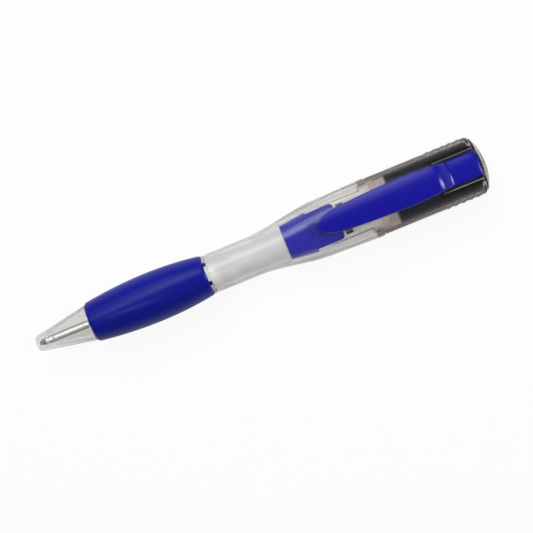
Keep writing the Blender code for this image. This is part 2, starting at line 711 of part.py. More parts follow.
def twist_plunger(carrier):
    """Double-D rod with a socket for the refill, a guide head in the cam tube and a follower pin."""
    socket_radius = REFILL_RADIUS + FINE_CLEARANCE
    rings = [
        circle_ring(SOCKET_END, socket_radius),
        circle_ring(PLUNGER_FRONT, socket_radius),
        double_d_ring(PLUNGER_FRONT, PLUNGER_RADIUS, PLUNGER_FLAT),
        double_d_ring(PLUNGER_HEAD, PLUNGER_RADIUS, PLUNGER_FLAT),
        circle_ring(PLUNGER_HEAD, PLUNGER_HEAD_RADIUS),
        circle_ring(PLUNGER_REAR, PLUNGER_HEAD_RADIUS),
    ]
    piece = add_piece("twist_plunger", loft("twist_plunger", rings), "white_plastic", carrier)
    pin_length = CAM_RADIUS - 0.5 * PLUNGER_HEAD_RADIUS
    lay_down = Matrix.Rotation(-0.5 * pi, 4, "X")
    middle = Matrix.Translation((FOLLOWER, CAM_RADIUS - 0.5 * pin_length, 0.0))
    combine(piece, cylinder("follower_pin", FOLLOWER_RADIUS, pin_length, middle @ lay_down), "UNION")


def refill_tip(carrier):
    """Metal point with a crimped seat for the ball, an ink channel and a spigot in the tube."""
    seat = BALL_RADIUS + BALL_CLEARANCE
    lip = TIP_SET_BACK + BALL_SHOWING
    lip_angle = -(BALL_CENTRE - lip) / seat
    point_radius = seat + TIP_POINT_WALL
    spigot = TUBE_BORE - FINE_CLEARANCE
    channel = BALL_CENTRE + sqrt(seat ** 2 - INK_CHANNEL_RADIUS ** 2)
    lip_radius = sqrt(1.0 - lip_angle ** 2) * seat
    outside = [
        (lip, lip_radius + 0.5 * TIP_POINT_WALL),
        (BALL_CENTRE, point_radius),
        (TIP_CONE_START, point_radius),
        (TIP_CONE_END, REFILL_RADIUS),
        (TUBE_FRONT - FINE_CLEARANCE, REFILL_RADIUS),
        (TUBE_FRONT - FINE_CLEARANCE, spigot),
        (TIP_REAR, spigot),
    ]
    seat_stations = steps_between(channel, lip, 6)
    bowl = [(station, sqrt(seat ** 2 - (station - BALL_CENTRE) ** 2)) for station in seat_stations]
    points = outside + [(TIP_REAR, INK_CHANNEL_RADIUS)] + bowl
    piece = add_piece("refill_tip", profile("refill_tip", points), "steel", carrier)
    turn(piece)


def refill_tube(carrier):
    """Thin metal tube of the refill, open at both ends."""
    points = [
        (TUBE_FRONT, REFILL_RADIUS),
        (REFILL_REAR, REFILL_RADIUS),
        (REFILL_REAR, TUBE_BORE),
        (TUBE_FRONT, TUBE_BORE),
    ]
    piece = add_piece("refill_tube", profile("refill_tube", points), "steel", carrier)
    turn(piece)


def ink_column(carrier):
    """Ink behind the point."""
    front = TIP_REAR + FINE_CLEARANCE
    radius = TUBE_BORE - FINE_CLEARANCE
    points = [(front, 0.0), (front, radius), (INK_REAR, radius), (INK_REAR, 0.0)]
    piece = add_piece("ink_column", profile("ink_column", points), "ink", carrier)
    turn(piece)


def writing_ball(carrier):
    """The ball in its seat."""
    shape = bmesh.new()
    bmesh.ops.create_uvsphere(shape, u_segments=PIN_STEPS, v_segments=PIN_STEPS // 2, radius=BALL_RADIUS)
    bmesh.ops.translate(shape, vec=(BALL_CENTRE, 0.0, 0.0), verts=shape.verts)
    add_piece("writing_ball", finish_mesh(shape, "writing_ball"), "steel", carrier)


def holder_flap(side):
    """One of the two flaps over and under the plug, round at its free corners and shaped to the bore."""
    outline = [(HOLDER_END - FLAP_ROOT, FLAP_HALF_WIDTH), (HOLDER_END - FLAP_ROOT, -FLAP_HALF_WIDTH)]
    turns = steps_between(0.0, 0.5 * pi, 3)
    tip = FLAP_END - FLAP_CORNER
    side_edge = FLAP_HALF_WIDTH - FLAP_CORNER
    corner = [(tip + FLAP_CORNER * sin(t), side_edge + FLAP_CORNER * cos(t)) for t in turns]
    outline += [(station, -y) for station, y in corner] + corner[::-1]
    low, high = sorted((side * FLAP_BOTTOM, side * FLAP_TOP))
    name = "upper_flap" if side > 0.0 else "lower_flap"
    flap = add_cutter(name, prism(name, outline, low, high))
    stations = (HOLDER_END - 2.0 * FLAP_ROOT, HOLDER_END, FLAP_END + FLAP_ROOT)
    envelope = loft(f"{name}_envelope", [bore_ring(s, HOLDER_CLEARANCE + FINE_CLEARANCE) for s in stations])
    combine(flap, add_cutter(f"{name}_envelope", envelope), "INTERSECT")
    return flap


def plug_holder(carrier):
    """Blue insert that stops the cam tube and grips the plug between its flaps."""
    rings = [bore_ring(station, HOLDER_CLEARANCE) for station in (HOLDER_START, HOLDER_END)]
    piece = add_piece("plug_holder", loft("plug_holder", rings), "blue_plastic", carrier)
    for side in (1.0, -1.0):
        combine(piece, holder_flap(side), "UNION")
    hollow_width = bore_sizes(HOLDER_START)[0] - HOLDER_CLEARANCE - HOLDER_SIDE_WALL
    hollow_height = 0.5 * PLUG_HEIGHT - PLUG_WALL
    low = (HOLDER_START + HOLDER_FRONT_WALL, -hollow_width, -hollow_height)
    high = (HOLDER_END + FLAP_ROOT, hollow_width, hollow_height)
    combine(piece, add_cutter("holder_hollow", box("holder_hollow", low, high)), "DIFFERENCE")


def housing_ring(station, inset=0.0, share=1.0):
    """The drive housing's outside, drawn in by an inset or shrunk to a share of itself."""
    ring = oval_ring(
        station,
        HOUSING_HALF_WIDTH - inset,
        HOUSING_TOP - inset,
        OVAL_BOTTOM - inset,
        OVAL_EXPONENT,
        AXIS_HEIGHT - inset,
    )
    return [(s, y * share, z * share) for s, y, z in ring]


def cavity_ring(station, inset=0.0, share=1.0):
    """The housing's inside, or with an inset, a piece that fits in it."""
    ring = oval_ring(
        station, CAVITY_HALF_WIDTH - inset, CAVITY_TOP - inset, CAVITY_BOTTOM - inset, OVAL_EXPONENT
    )
    return [(s, y * share, z * share) for s, y, z in ring]


def board_half_width():
    """The board reaches across the cavity to just short of its walls."""
    return oval_reach(CAVITY_HALF_WIDTH, CAVITY_BOTTOM, OVAL_EXPONENT, BOARD_BOTTOM) - SEAT_CLEARANCE


def housing_cavity():
    """The hollow of the housing, with the clip's pocket and the board's ledges left standing in it."""
    side = HOUSING_END - dome_drop(HOUSING_HALF_WIDTH) - HOUSING_WALL
    rings = [cavity_ring(HOUSING_START - HOUSING_WALL), cavity_ring(side)]
    for share in (0.8, 0.5):
        station = HOUSING_END - HOUSING_WALL - dome_drop(share * HOUSING_HALF_WIDTH)
        rings.append(cavity_ring(station, 0.0, share))
    cavity = add_cutter("housing_cavity", loft("housing_cavity", rings))
    tub = prism("pocket_tub", pocket_outline(POCKET_WALL), POCKET_FLOOR - POCKET_WALL, HOUSING_TOP)
    combine(cavity, add_cutter("pocket_tub", tub), "DIFFERENCE")
    edge = 0.5 * FLASH_CHIP_SIZE[1] + LEDGE_CHIP_GAP
    for name, side in (("left_ledge", 1.0), ("right_ledge", -1.0)):
        low_y, high_y = sorted((side * edge, side * HOUSING_HALF_WIDTH))
        low = (BOARD_FRONT, low_y, -AXIS_HEIGHT)
        high = (HOUSING_END, high_y, BOARD_BOTTOM - SOLDER_GAP)
        combine(cavity, add_cutter(name, box(name, low, high)), "DIFFERENCE")
    return cavity


def pocket_outline(margin=0.0):
    """The clip's pocket seen from above: straight in front, bowed like the domed end behind."""
    half_width = POCKET_HALF_WIDTH + margin
    outline = [(POCKET_START - margin, half_width), (POCKET_START - margin, -half_width)]
    for y in steps_between(-half_width, half_width, 6):
        outline.append((POCKET_END + margin - dome_drop(y), y))
    return outline


def edge_rib(name, station, side):
    """One of the finger ribs on the housing's narrow edges."""
    middle = side * (HOUSING_HALF_WIDTH + EDGE_RIB_HEIGHT - EDGE_RIB_RADIUS)
    return cylinder(name, EDGE_RIB_RADIUS, EDGE_RIB_LENGTH, Matrix.Translation((station, middle, 0.0)))


def clip_pegs(name, radius, low, high):
    """The clip's two pegs, or the holes that they sit in."""
    middle = 0.5 * (CLIP_HINGE + CLIP_ROOT_END)
    pegs = []
    for end, side in (("front", -0.5), ("rear", 0.5)):
        place = Matrix.Translation((middle + side * CLIP_PEG_PITCH, 0.0, 0.5 * (low + high)))
        pegs.append(cylinder(f"{name}_{end}", radius, high - low, place))
    return pegs


def drive_housing(carrier):
    """Smoke-clear cup with a domed end, a pocket for the clip and ribbed edges."""
    side = HOUSING_END - dome_drop(HOUSING_HALF_WIDTH)
    rings = [housing_ring(HOUSING_START, EDGE_ROUND), housing_ring(HOUSING_START + EDGE_ROUND)]
    for t in steps_between(0.0, 0.5 * pi, 3)[:-1]:
        inset = DOME_EDGE_ROUND * (1.0 - cos(t))
        rings.append(housing_ring(side - DOME_EDGE_ROUND * (1.0 - sin(t)), inset))
    for share in (0.92, 0.7, 0.45, 0.2):
        rings.append(housing_ring(HOUSING_END - dome_drop(share * HOUSING_HALF_WIDTH), 0.0, share))
    rings.append(housing_ring(HOUSING_END, 0.0, 0.05))
    piece = add_piece("drive_housing", loft("drive_housing", rings), "smoke_plastic", carrier)
    for i in range(EDGE_RIB_COUNT):
        station = HOUSING_END - EDGE_RIBS_FROM_END + EDGE_RIB_PITCH * (i - 0.5 * (EDGE_RIB_COUNT - 1))
        for name, side in (("left", 1.0), ("right", -1.0)):
            combine(piece, edge_rib(f"{name}_rib_{i + 1}", station, side), "UNION")
    combine(piece, housing_cavity(), "DIFFERENCE")
    pocket = prism("clip_pocket", pocket_outline(), POCKET_FLOOR, HOUSING_TOP + POCKET_DEPTH)
    combine(piece, add_cutter("clip_pocket", pocket), "DIFFERENCE")
    low = POCKET_FLOOR - 2.0 * POCKET_WALL
    for hole in clip_pegs("peg_hole", CLIP_PEG_RADIUS + SEAT_CLEARANCE, low, POCKET_FLOOR + POCKET_WALL):
        combine(piece, hole, "DIFFERENCE")


def housing_bezel(carrier):
    """Clear front of the housing, whose spigot fits the barrel's mouth and which holds the plug."""
    spigot_inset = SLIDE_CLEARANCE
    rings = [
        bore_ring(SPIGOT_START, spigot_inset + EDGE_ROUND),
        bore_ring(SPIGOT_START + EDGE_ROUND, spigot_inset),
        bore_ring(HOUSING_START + EDGE_ROUND, spigot_inset),
        cavity_ring(HOUSING_START + EDGE_ROUND, SEAT_CLEARANCE),
        cavity_ring(HOUSING_START + BEZEL_SEAT_LENGTH, SEAT_CLEARANCE),
    ]
    piece = add_piece("housing_bezel", loft("housing_bezel", rings), "clear_plastic", carrier)
    half_width = 0.5 * PLUG_WIDTH + SEAT_CLEARANCE
    half_height = 0.5 * PLUG_HEIGHT + SEAT_CLEARANCE
    corner = PLUG_CORNER + SEAT_CLEARANCE
    ends = (SPIGOT_START - SPIGOT_LENGTH, HOUSING_START + 2.0 * BEZEL_SEAT_LENGTH)
    rings = [rounded_rectangle(station, half_width, half_height, corner) for station in ends]
    combine(piece, add_cutter("plug_hole", loft("plug_hole", rings)), "DIFFERENCE")


def plug_shell(carrier):
    """Folded metal shell of the plug, open at both ends, with its latch windows."""
    half_width = 0.5 * PLUG_WIDTH
    half_height = 0.5 * PLUG_HEIGHT
    inner_corner = PLUG_CORNER - PLUG_WALL
    rings = [
        rounded_rectangle(PLUG_FRONT, half_width, half_height, PLUG_CORNER),
        rounded_rectangle(PLUG_REAR, half_width, half_height, PLUG_CORNER),
        rounded_rectangle(PLUG_REAR, half_width - PLUG_WALL, half_height - PLUG_WALL, inner_corner),
        rounded_rectangle(PLUG_FRONT, half_width - PLUG_WALL, half_height - PLUG_WALL, inner_corner),
    ]
    piece = add_piece("plug_shell", loft("plug_shell", rings, closed=True), "steel", carrier)
    middle = PLUG_FRONT + PLUG_WINDOW_FROM_FRONT
    for name, side in (("left_window", 1.0), ("right_window", -1.0)):
        y = 0.5 * side * PLUG_WINDOW_PITCH
        low = (middle - 0.5 * PLUG_WINDOW, y - 0.5 * PLUG_WINDOW, -PLUG_HEIGHT)
        high = (middle + 0.5 * PLUG_WINDOW, y + 0.5 * PLUG_WINDOW, PLUG_HEIGHT)
        combine(piece, add_cutter(name, box(name, low, high)), "DIFFERENCE")


def plug_tongue(carrier):
    """Insulator in the lower half of the plug, grooved for the contacts."""
    half_width = 0.5 * PLUG_WIDTH - PLUG_WALL - FINE_CLEARANCE
    bottom = -(0.5 * PLUG_HEIGHT - PLUG_WALL - FINE_CLEARANCE)
    low = (PLUG_FRONT + TONGUE_SET_BACK, -half_width, bottom)
    high = (PLUG_REAR, half_width, TONGUE_TOP)
    piece = add_piece("plug_tongue", box("plug_tongue", low, high), "white_plastic", carrier)
    edge = piece.modifiers.new("edges", "BEVEL")
    edge.width = PLUG_CORNER - PLUG_WALL
    for i, y in enumerate(CONTACT_PITCHES):
        name = f"contact_groove_{i + 1}"
        half_groove = 0.5 * CONTACT_WIDTH + FINE_CLEARANCE
        low = (contact_front(i) - FINE_CLEARANCE, y - half_groove, CONTACT_BOTTOM - FINE_CLEARANCE)
        high = (PLUG_REAR + TONGUE_SET_BACK, y + half_groove, TONGUE_TOP + CONTACT_THICKNESS)
        combine(piece, add_cutter(name, box(name, low, high)), "DIFFERENCE")


def contact_front(index):
    """The two outer contacts, for power, reach further forward than the two for data."""
    outer = index in (0, len(CONTACT_PITCHES) - 1)
    return PLUG_FRONT + TONGUE_SET_BACK + (POWER_CONTACT_SET_BACK if outer else SIGNAL_CONTACT_SET_BACK)


def plug_contacts(carrier):
    """Four gold strips from the plug's mouth to their pads on the board."""
    for i, y in enumerate(CONTACT_PITCHES):
        name = f"plug_contact_{i + 1}"
        low = (contact_front(i), y - 0.5 * CONTACT_WIDTH, CONTACT_BOTTOM)
        high = (BOARD_FRONT + CONTACT_TAIL_ON_BOARD, y + 0.5 * CONTACT_WIDTH, TONGUE_TOP)
        add_piece(name, box(name, low, high), "gold", carrier)


def circuit_board(carrier):
    """Black board across the housing, with its corners cut off."""
    reach = board_half_width()
    cut = reach - BOARD_CHAMFER
    outline = [
        (BOARD_FRONT, -cut),
        (BOARD_FRONT + BOARD_CHAMFER, -reach),
        (BOARD_REAR - BOARD_CHAMFER, -reach),
        (BOARD_REAR, -cut),
        (BOARD_REAR, cut),
        (BOARD_REAR - BOARD_CHAMFER, reach),
        (BOARD_FRONT + BOARD_CHAMFER, reach),
        (BOARD_FRONT, cut),
    ]
    mesh = prism("circuit_board", outline, BOARD_BOTTOM, BOARD_TOP)
    add_piece("circuit_board", mesh, "board_black", carrier)


def core_cover(carrier):
    """Black cover that fills the housing above the board, cut away for the pocket, parts and contacts."""
    rear = HOUSING_END - dome_drop(HOUSING_HALF_WIDTH) - HOUSING_WALL - SEAT_CLEARANCE
    rings = [
        cavity_ring(BOARD_FRONT, SEAT_CLEARANCE + COVER_CHAMFER),
        cavity_ring(BOARD_FRONT + COVER_CHAMFER, SEAT_CLEARANCE),
        cavity_ring(rear - COVER_CHAMFER, SEAT_CLEARANCE),
        cavity_ring(rear, SEAT_CLEARANCE + COVER_CHAMFER),
    ]
    piece = add_piece("core_cover", loft("core_cover", rings), "black_plastic", carrier)
    reach = CAVITY_HALF_WIDTH - COVER_WALL
    front = BOARD_FRONT + COVER_FRONT_WALL
    slot_reach = CONTACT_PITCHES[-1] + CONTACT_WIDTH
    slot_top = TONGUE_TOP + COVER_CONTACT_SLOT
    rooms = (
        ("cover_underside", HOUSING_START, HOUSING_END, HOUSING_HALF_WIDTH, COVER_BOTTOM),
        ("cover_room", front, rear - COVER_WALL, reach, COVER_CEILING),
        ("cover_slot", HOUSING_START, front + COVER_WALL, slot_reach, slot_top),
    )
    for name, start, end, half_width, top in rooms:
        low = (start, -half_width, -AXIS_HEIGHT)
        combine(piece, add_cutter(name, box(name, low, (end, half_width, top))), "DIFFERENCE")
    margin = POCKET_WALL + SEAT_CLEARANCE
    tub = prism("cover_tub", pocket_outline(margin), POCKET_FLOOR - margin, HOUSING_TOP)
    combine(piece, add_cutter("cover_tub", tub), "DIFFERENCE")


def chip(name, size, from_front, sideways, finish, carrier, below=False):
    """A package soldered on top of the board, or below it."""
    length, width, height = size
    middle = BOARD_FRONT + from_front
    low_z = BOARD_BOTTOM - SOLDER_GAP - height if below else BOARD_TOP + SOLDER_GAP
    low = (middle - 0.5 * length, sideways - 0.5 * width, low_z)
    high = (middle + 0.5 * length, sideways + 0.5 * width, low_z + height)
    piece = add_piece(name, box(name, low, high), finish, carrier)
    edge = piece.modifiers.new("edges", "BEVEL")
    edge.width = CHIP_EDGE


def board_components(carrier):
    """The memory and the light under the board, and the controller and small parts on it."""
    chip("flash_chip", FLASH_CHIP_SIZE, FLASH_CHIP_FROM_FRONT, 0.0, "chip_black", carrier, below=True)
    chip("controller_chip", CONTROLLER_SIZE, CONTROLLER_FROM_FRONT, 0.0, "chip_black", carrier)
    chip("crystal", CRYSTAL_SIZE, CRYSTAL_FROM_FRONT, 0.0, "steel", carrier)
    led_from_front = BOARD_REAR - LED_FROM_REAR - BOARD_FRONT
    chip("activity_led", LED_SIZE, led_from_front, 0.0, "led_lens", carrier, below=True)
    for i in range(CAPACITOR_COUNT):
        y = CAPACITOR_PITCH * (i - 0.5 * (CAPACITOR_COUNT - 1))
        size = (CAPACITOR_SIZE[1], CAPACITOR_SIZE[0], CAPACITOR_SIZE[2])
        chip(f"capacitor_{i + 1}", size, CAPACITORS_FROM_FRONT, y, "ceramic", carrier)


def clip_ring(station, half_width, bottom):
    """The clip's section: flat below and crowned above."""
    crown = []
    for y in steps_between(half_width, -half_width, CLIP_SECTION_POINTS):
        z = bottom + CLIP_THICKNESS + CLIP_CROWN * (1.0 - (y / CLIP_ARM_HALF_WIDTH) ** 2)
        crown.append((station, y, z))
    return crown + [(station, -half_width, bottom), (station, half_width, bottom)]


def clip_half_width(from_tip):
    """Half the arm's width: an elliptical tip, a slow swell and a waist at the bend."""
    if from_tip < CLIP_TIP_TAPER:
        return CLIP_TIP_HALF_WIDTH * sqrt(1.0 - (1.0 - from_tip / CLIP_TIP_TAPER) ** 2)
    if from_tip < CLIP_WIDEST_FROM_TIP:
        share = (from_tip - CLIP_TIP_TAPER) / (CLIP_WIDEST_FROM_TIP - CLIP_TIP_TAPER)
        return CLIP_TIP_HALF_WIDTH + (CLIP_ARM_HALF_WIDTH - CLIP_TIP_HALF_WIDTH) * share * (2.0 - share)
    share = (from_tip - CLIP_WIDEST_FROM_TIP) / (CLIP_HINGE - CLIP_TIP - CLIP_WIDEST_FROM_TIP)
    return CLIP_ARM_HALF_WIDTH - (CLIP_ARM_HALF_WIDTH - CLIP_NECK_HALF_WIDTH) * smooth(share)


def clip_bottom(from_tip):
    """Height of the arm's underside: a nub near the tip, a straight arm and a bend down to the root."""
    nub = max(0.0, 1.0 - (2.0 * (from_tip - CLIP_NUB_FROM_TIP) / CLIP_NUB_LENGTH) ** 2)
    bend_start = CLIP_HINGE - CLIP_TIP - CLIP_BEND_LENGTH
    bend = smooth((from_tip - bend_start) / CLIP_BEND_LENGTH)
    return CLIP_ARM_BOTTOM - CLIP_NUB_DEPTH * nub - (CLIP_ARM_BOTTOM - CLIP_ROOT_BOTTOM) * bend


def clip_arm(carrier):
    """The springy arm, from its tip over the barrel to the bend at the housing's pocket."""
    hinge = CLIP_HINGE - CLIP_TIP
    stations = [CLIP_TIP_TAPER * share ** 2 for share in steps_between(0.15, 1.0, 7)]
    stations += steps_between(CLIP_TIP_TAPER, hinge - CLIP_BEND_LENGTH, 8)[1:]
    stations += steps_between(hinge - CLIP_BEND_LENGTH, hinge - 0.5 * CLIP_HINGE_GAP, 8)[1:]
    rings = [clip_ring(CLIP_TIP + d, clip_half_width(d), clip_bottom(d)) for d in stations]
    add_piece("clip_arm", loft("clip_arm", rings), "blue_plastic", carrier)


def clip_root(carrier):
    """The clip's foot in the housing's pocket, held by two pegs."""
    front = CLIP_HINGE + 0.5 * CLIP_HINGE_GAP
    rings = [clip_ring(front, CLIP_NECK_HALF_WIDTH, CLIP_ROOT_BOTTOM)]
    for share in (1.0, 0.75, 0.5, 0.25):
        half_width = share * CLIP_NECK_HALF_WIDTH
        rings.append(clip_ring(CLIP_ROOT_END - dome_drop(half_width), half_width, CLIP_ROOT_BOTTOM))
    piece = add_piece("clip_root", loft("clip_root", rings), "blue_plastic", carrier)
    low = CLIP_ROOT_BOTTOM - CLIP_PEG_LENGTH
    for peg in clip_pegs("clip_peg", CLIP_PEG_RADIUS, low, CLIP_ROOT_BOTTOM + 0.5 * CLIP_THICKNESS):
        combine(piece, peg, "UNION")


def build():
    """All the pieces, on the joint that carries each."""
    pen = joint_empty("pen_axis", 0.5 * TOTAL_LENGTH, 0.0, None)
    twist = joint_empty("twist_axis", FLANGE_END, 0.0, pen)
    refill = joint_empty("refill_axis", PLUNGER_FRONT, 0.0, twist)
    ball = joint_empty("ball_axis", BALL_CENTRE, 0.0, refill)
    drive = joint_empty("drive_axis", HOUSING_START, 0.0, pen)
    clip = joint_empty("clip_axis", CLIP_HINGE, CLIP_ROOT_BOTTOM + 0.5 * CLIP_THICKNESS, drive)
    for make in (rear_barrel, twist_cam_tube, plug_holder):
        make(pen)
    for make in (front_barrel, grip_sleeve, key_collar):
        make(twist)
    for make in (refill_tube, refill_tip, ink_column, twist_plunger):
        make(refill)
    writing_ball(ball)
    for make in (drive_housing, housing_bezel, circuit_board, core_cover, board_components):
        make(drive)
    for make in (plug_shell, plug_tongue, plug_contacts, clip_root):
        make(drive)
    clip_arm(clip)


build()
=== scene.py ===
"""Flash drive pen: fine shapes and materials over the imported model, soft light and the photograph's camera.

Pieces are drawn in pen coordinates, in millimetres: station from the tip, sideways, and height above the
pen's axis. spot() turns these into places in the model's frame, in metres.
"""

import json
from math import cos, pi, radians, sin, sqrt, tan, tau

import bmesh
import bpy
from mathutils import Matrix, Vector

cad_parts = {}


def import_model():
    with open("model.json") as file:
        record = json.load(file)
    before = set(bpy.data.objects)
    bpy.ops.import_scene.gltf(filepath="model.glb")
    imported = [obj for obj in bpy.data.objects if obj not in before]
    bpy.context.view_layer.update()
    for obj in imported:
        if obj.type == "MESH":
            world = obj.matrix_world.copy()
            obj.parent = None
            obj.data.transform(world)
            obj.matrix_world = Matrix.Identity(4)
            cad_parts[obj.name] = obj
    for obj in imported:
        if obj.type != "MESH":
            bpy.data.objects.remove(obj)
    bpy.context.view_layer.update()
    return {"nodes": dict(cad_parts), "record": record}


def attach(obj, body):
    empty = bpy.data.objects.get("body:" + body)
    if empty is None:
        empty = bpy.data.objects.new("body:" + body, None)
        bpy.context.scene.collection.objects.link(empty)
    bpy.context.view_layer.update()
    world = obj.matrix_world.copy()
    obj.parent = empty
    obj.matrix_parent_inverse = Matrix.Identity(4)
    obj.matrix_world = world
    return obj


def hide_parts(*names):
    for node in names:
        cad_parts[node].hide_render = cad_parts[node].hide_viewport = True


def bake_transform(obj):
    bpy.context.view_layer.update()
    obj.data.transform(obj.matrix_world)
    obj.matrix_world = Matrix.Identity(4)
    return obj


MM = 0.001
PEN_LENGTH = 145.0
AXIS_HEIGHT = 7.65

# Clearances and rounding
SEAT = 0.15
SLIDE = 0.2
FINE = 0.06
EDGE_ROUND = 0.3
LIP_ROUND = 0.12

# Stations along the pen
TUBE_FRONT = 4.2
TUBE_REAR = 67.65
NOSE_END = 17.6
GRIP_END = 55.5
FLANGE_END = 56.3
BARREL_START = 56.6
SNAP_BEAD = 58.65
JOURNAL_END = 61.0
FLARE_START = 70.0
BORE_END = 73.6
CAM_START = 58.3
CAM_LANDS = ((61.3, 62.8), (71.8, 73.3))
CAM_END = 80.4
FOLLOWER = 70.4
HOLDER_START = 80.7
HOLDER_END = 89.2
FLAP_END = 97.8
PLUG_FRONT = 93.3
FLARE_END = 93.5
BORE_FLARE_END = 99.0
SPIGOT_START = 106.8
BARREL_END = 109.2
LIP_START = BARREL_END - 1.8
HOUSING_START = 109.5
BEZEL_END = 111.7
PLUG_REAR = 112.1
BOARD_FRONT = 115.2
BOARD_REAR = 141.7
POCKET_START = 129.4
POCKET_END = 142.7
CLIP_TIP = 90.9
CLIP_TAPER_END = CLIP_TIP + 11.0
CLIP_WIDEST = CLIP_TIP + 30.4
CLIP_HINGE = 132.9
CLIP_BEND = CLIP_HINGE - 4.4
CLIP_ROOT_END = 142.55
HOUSING_END = PEN_LENGTH

# Radii, half-widths and heights
GUIDE_BORE = 1.3
SEAT_BORE = 3.8
GRIP_SEAT = 5.0
JOURNAL_RADIUS = 4.85
JOURNAL_BORE = 4.25
NECK_BORE = 5.0
NECK_RADIUS = 6.02
FLANGE_RADIUS = 6.0
GRIP_BORE = 5.15
GRIP_MIDDLE = 7.65
REFILL_RADIUS = 1.175
TUBE_BORE = 0.975
CAM_RADIUS = 4.0
CAM_BORE = 3.2
CAP_HALF_WIDTH = 8.75
LIP_HALF_WIDTH = 9.22
OVAL_TOP = 6.6
OVAL_BOTTOM = 8.2
OVAL_EXPONENT = 2.4
MOUTH = (7.72, 5.1, 6.15)
HOUSING_HALF_WIDTH = 9.0
HOUSING_WALL = 1.0
CAVITY = (8.0, 5.6, 6.65)
DOME_RADIUS = 16.5
BOARD_TOP = -0.65
BOARD_BOTTOM = -1.65
POCKET_FLOOR = 4.6
POCKET_HALF_WIDTH = 4.7
RIM = 0.3
RIM_LOW = 5.7
RIM_HIGH = 6.0
PLUG_HALF_WIDTH = 6.0
PLUG_HALF_HEIGHT = 2.25
CLIP_ARM_BOTTOM = 7.3
CLIP_ROOT_BOTTOM = 4.75
PEG_RADIUS = 0.7
CLIP_TIP_HALF_WIDTH = 3.95
CLIP_HALF_WIDTH = 4.6
CLIP_WAIST_HALF_WIDTH = 3.9

# Counts, pitches, angles and facets
KEYS = 6
LEAD_PITCH = 0.5
TWIST_THROW = 4.5
SHARP_ANGLE = 38.0
TURN_STEPS = 96
OVAL_POINTS = 128
FILLET_STEPS = 4


def spot(station, sideways, height):
    """Place in the model's frame of a point in pen coordinates."""
    return Vector((station - 0.5 * PEN_LENGTH, sideways, height + AXIS_HEIGHT)) * MM


def steps_between(first, last, count):
    """Evenly spaced values from first to last."""
    return [first + (last - first) * i / count for i in range(count + 1)]


def way(station, first, last):
    """Share of the way between two stations, from 0 to 1."""
    return max(0.0, min(1.0, (station - first) / (last - first)))


def smooth(share):
    """Ease from 0 to 1."""
    return share * share * (3.0 - 2.0 * share)


def signed_power(value, power):
    """A power that keeps the sign."""
    return abs(value) ** power * (1.0 if value >= 0.0 else -1.0)


def dome_drop(sideways):
    """How far the domed end falls back at a distance from the axis."""
    return DOME_RADIUS - sqrt(DOME_RADIUS ** 2 - sideways ** 2)


def dome_station(share):
    """Station of the domed end at a share of the housing's half-width."""
    return HOUSING_END - dome_drop(share * HOUSING_HALF_WIDTH)


# Mesh making


def add_object(name, data):
    """A new object in the scene."""
    made = bpy.data.objects.new(name, data)
    bpy.context.scene.collection.objects.link(made)
    return made


def finish_mesh(shape, name, sharp=SHARP_ANGLE):
    """Write a bmesh to a new mesh with its faces pointing out, smooth apart from sharp edges."""
    bmesh.ops.recalc_face_normals(shape, faces=shape.faces)
    mesh = bpy.data.meshes.new(name)
    shape.to_mesh(mesh)
    shape.free()
    mesh.shade_smooth()
    mesh.set_sharp_from_angle(angle=radians(sharp))
    return mesh


def add_skin(shape, rings, closed=False):
    """Faces over rings of equal counts. A closed skin runs back to its first ring, as a tube's wall does."""
    loops = [[shape.verts.new(spot(*point)) for point in ring] for ring in rings]
    pairs = list(zip(loops, loops[1:]))
    if closed:
        pairs.append((loops[-1], loops[0]))
    else:
        shape.faces.new(loops[0])
        shape.faces.new(loops[-1])
    for near, far in pairs:
        for i in range(len(near)):
            after = (i + 1) % len(near)
            shape.faces.new((near[i], near[after], far[after], far[i]))


def skin(name, rings, closed=False):
    """A mesh over rings of equal counts."""
    shape = bmesh.new()
    add_skin(shape, rings, closed)
    return finish_mesh(shape, name)


def prism_rings(outline, low, high):
    """An outline of (station, sideways) points at two heights."""
    return [[(s, y, z) for s, y in outline] for z in (low, high)]


def box_rings(low, high):
    """A box between two corners, as two rings."""
    outline = [(low[0], low[1]), (high[0], low[1]), (high[0], high[1]), (low[0], high[1])]
    return prism_rings(outline, low[2], high[2])


def circle(station, radius, steps=TURN_STEPS):
    """A round ring across the pen."""
    return [(station, radius * cos(tau * i / steps), radius * sin(tau * i / steps)) for i in range(steps)]


def peg_rings(station, radius, low, high, steps=24):
    """An upright round peg as two rings."""
    turns = [tau * i / steps for i in range(steps)]
    return prism_rings([(station + radius * cos(t), radius * sin(t)) for t in turns], low, high)


def rounded(corners):
    """A closed outline of (station, radius, fillet) corners, with the fillets drawn as arcs."""
    points = []
    for i, (station, radius, fillet) in enumerate(corners):
        here = Vector((station, radius))
        if fillet == 0.0:
            points.append((station, radius))
            continue
        before = (Vector(corners[i - 1][:2]) - here).normalized()
        after = (Vector(corners[(i + 1) % len(corners)][:2]) - here).normalized()
        reach = fillet / tan(0.5 * before.angle(after))
        for t in steps_between(0.0, 1.0, FILLET_STEPS):
            point = here + before * reach * (1.0 - t) ** 2 + after * reach * t ** 2
            points.append(tuple(point))
    return points


def turned(name, outline):
    """A closed outline of (station, radius) points turned about the pen's axis."""
    return skin(name, [circle(station, radius) for station, radius in outline], closed=True)


def combined(mesh, operation, ring_sets):
    """A mesh joined with closed skins over sets of rings, or cut by them."""
    shape = bmesh.new()
    for rings in ring_sets:
        add_skin(shape, rings)
    return combined_with(mesh, operation, finish_mesh(shape, "tool"))


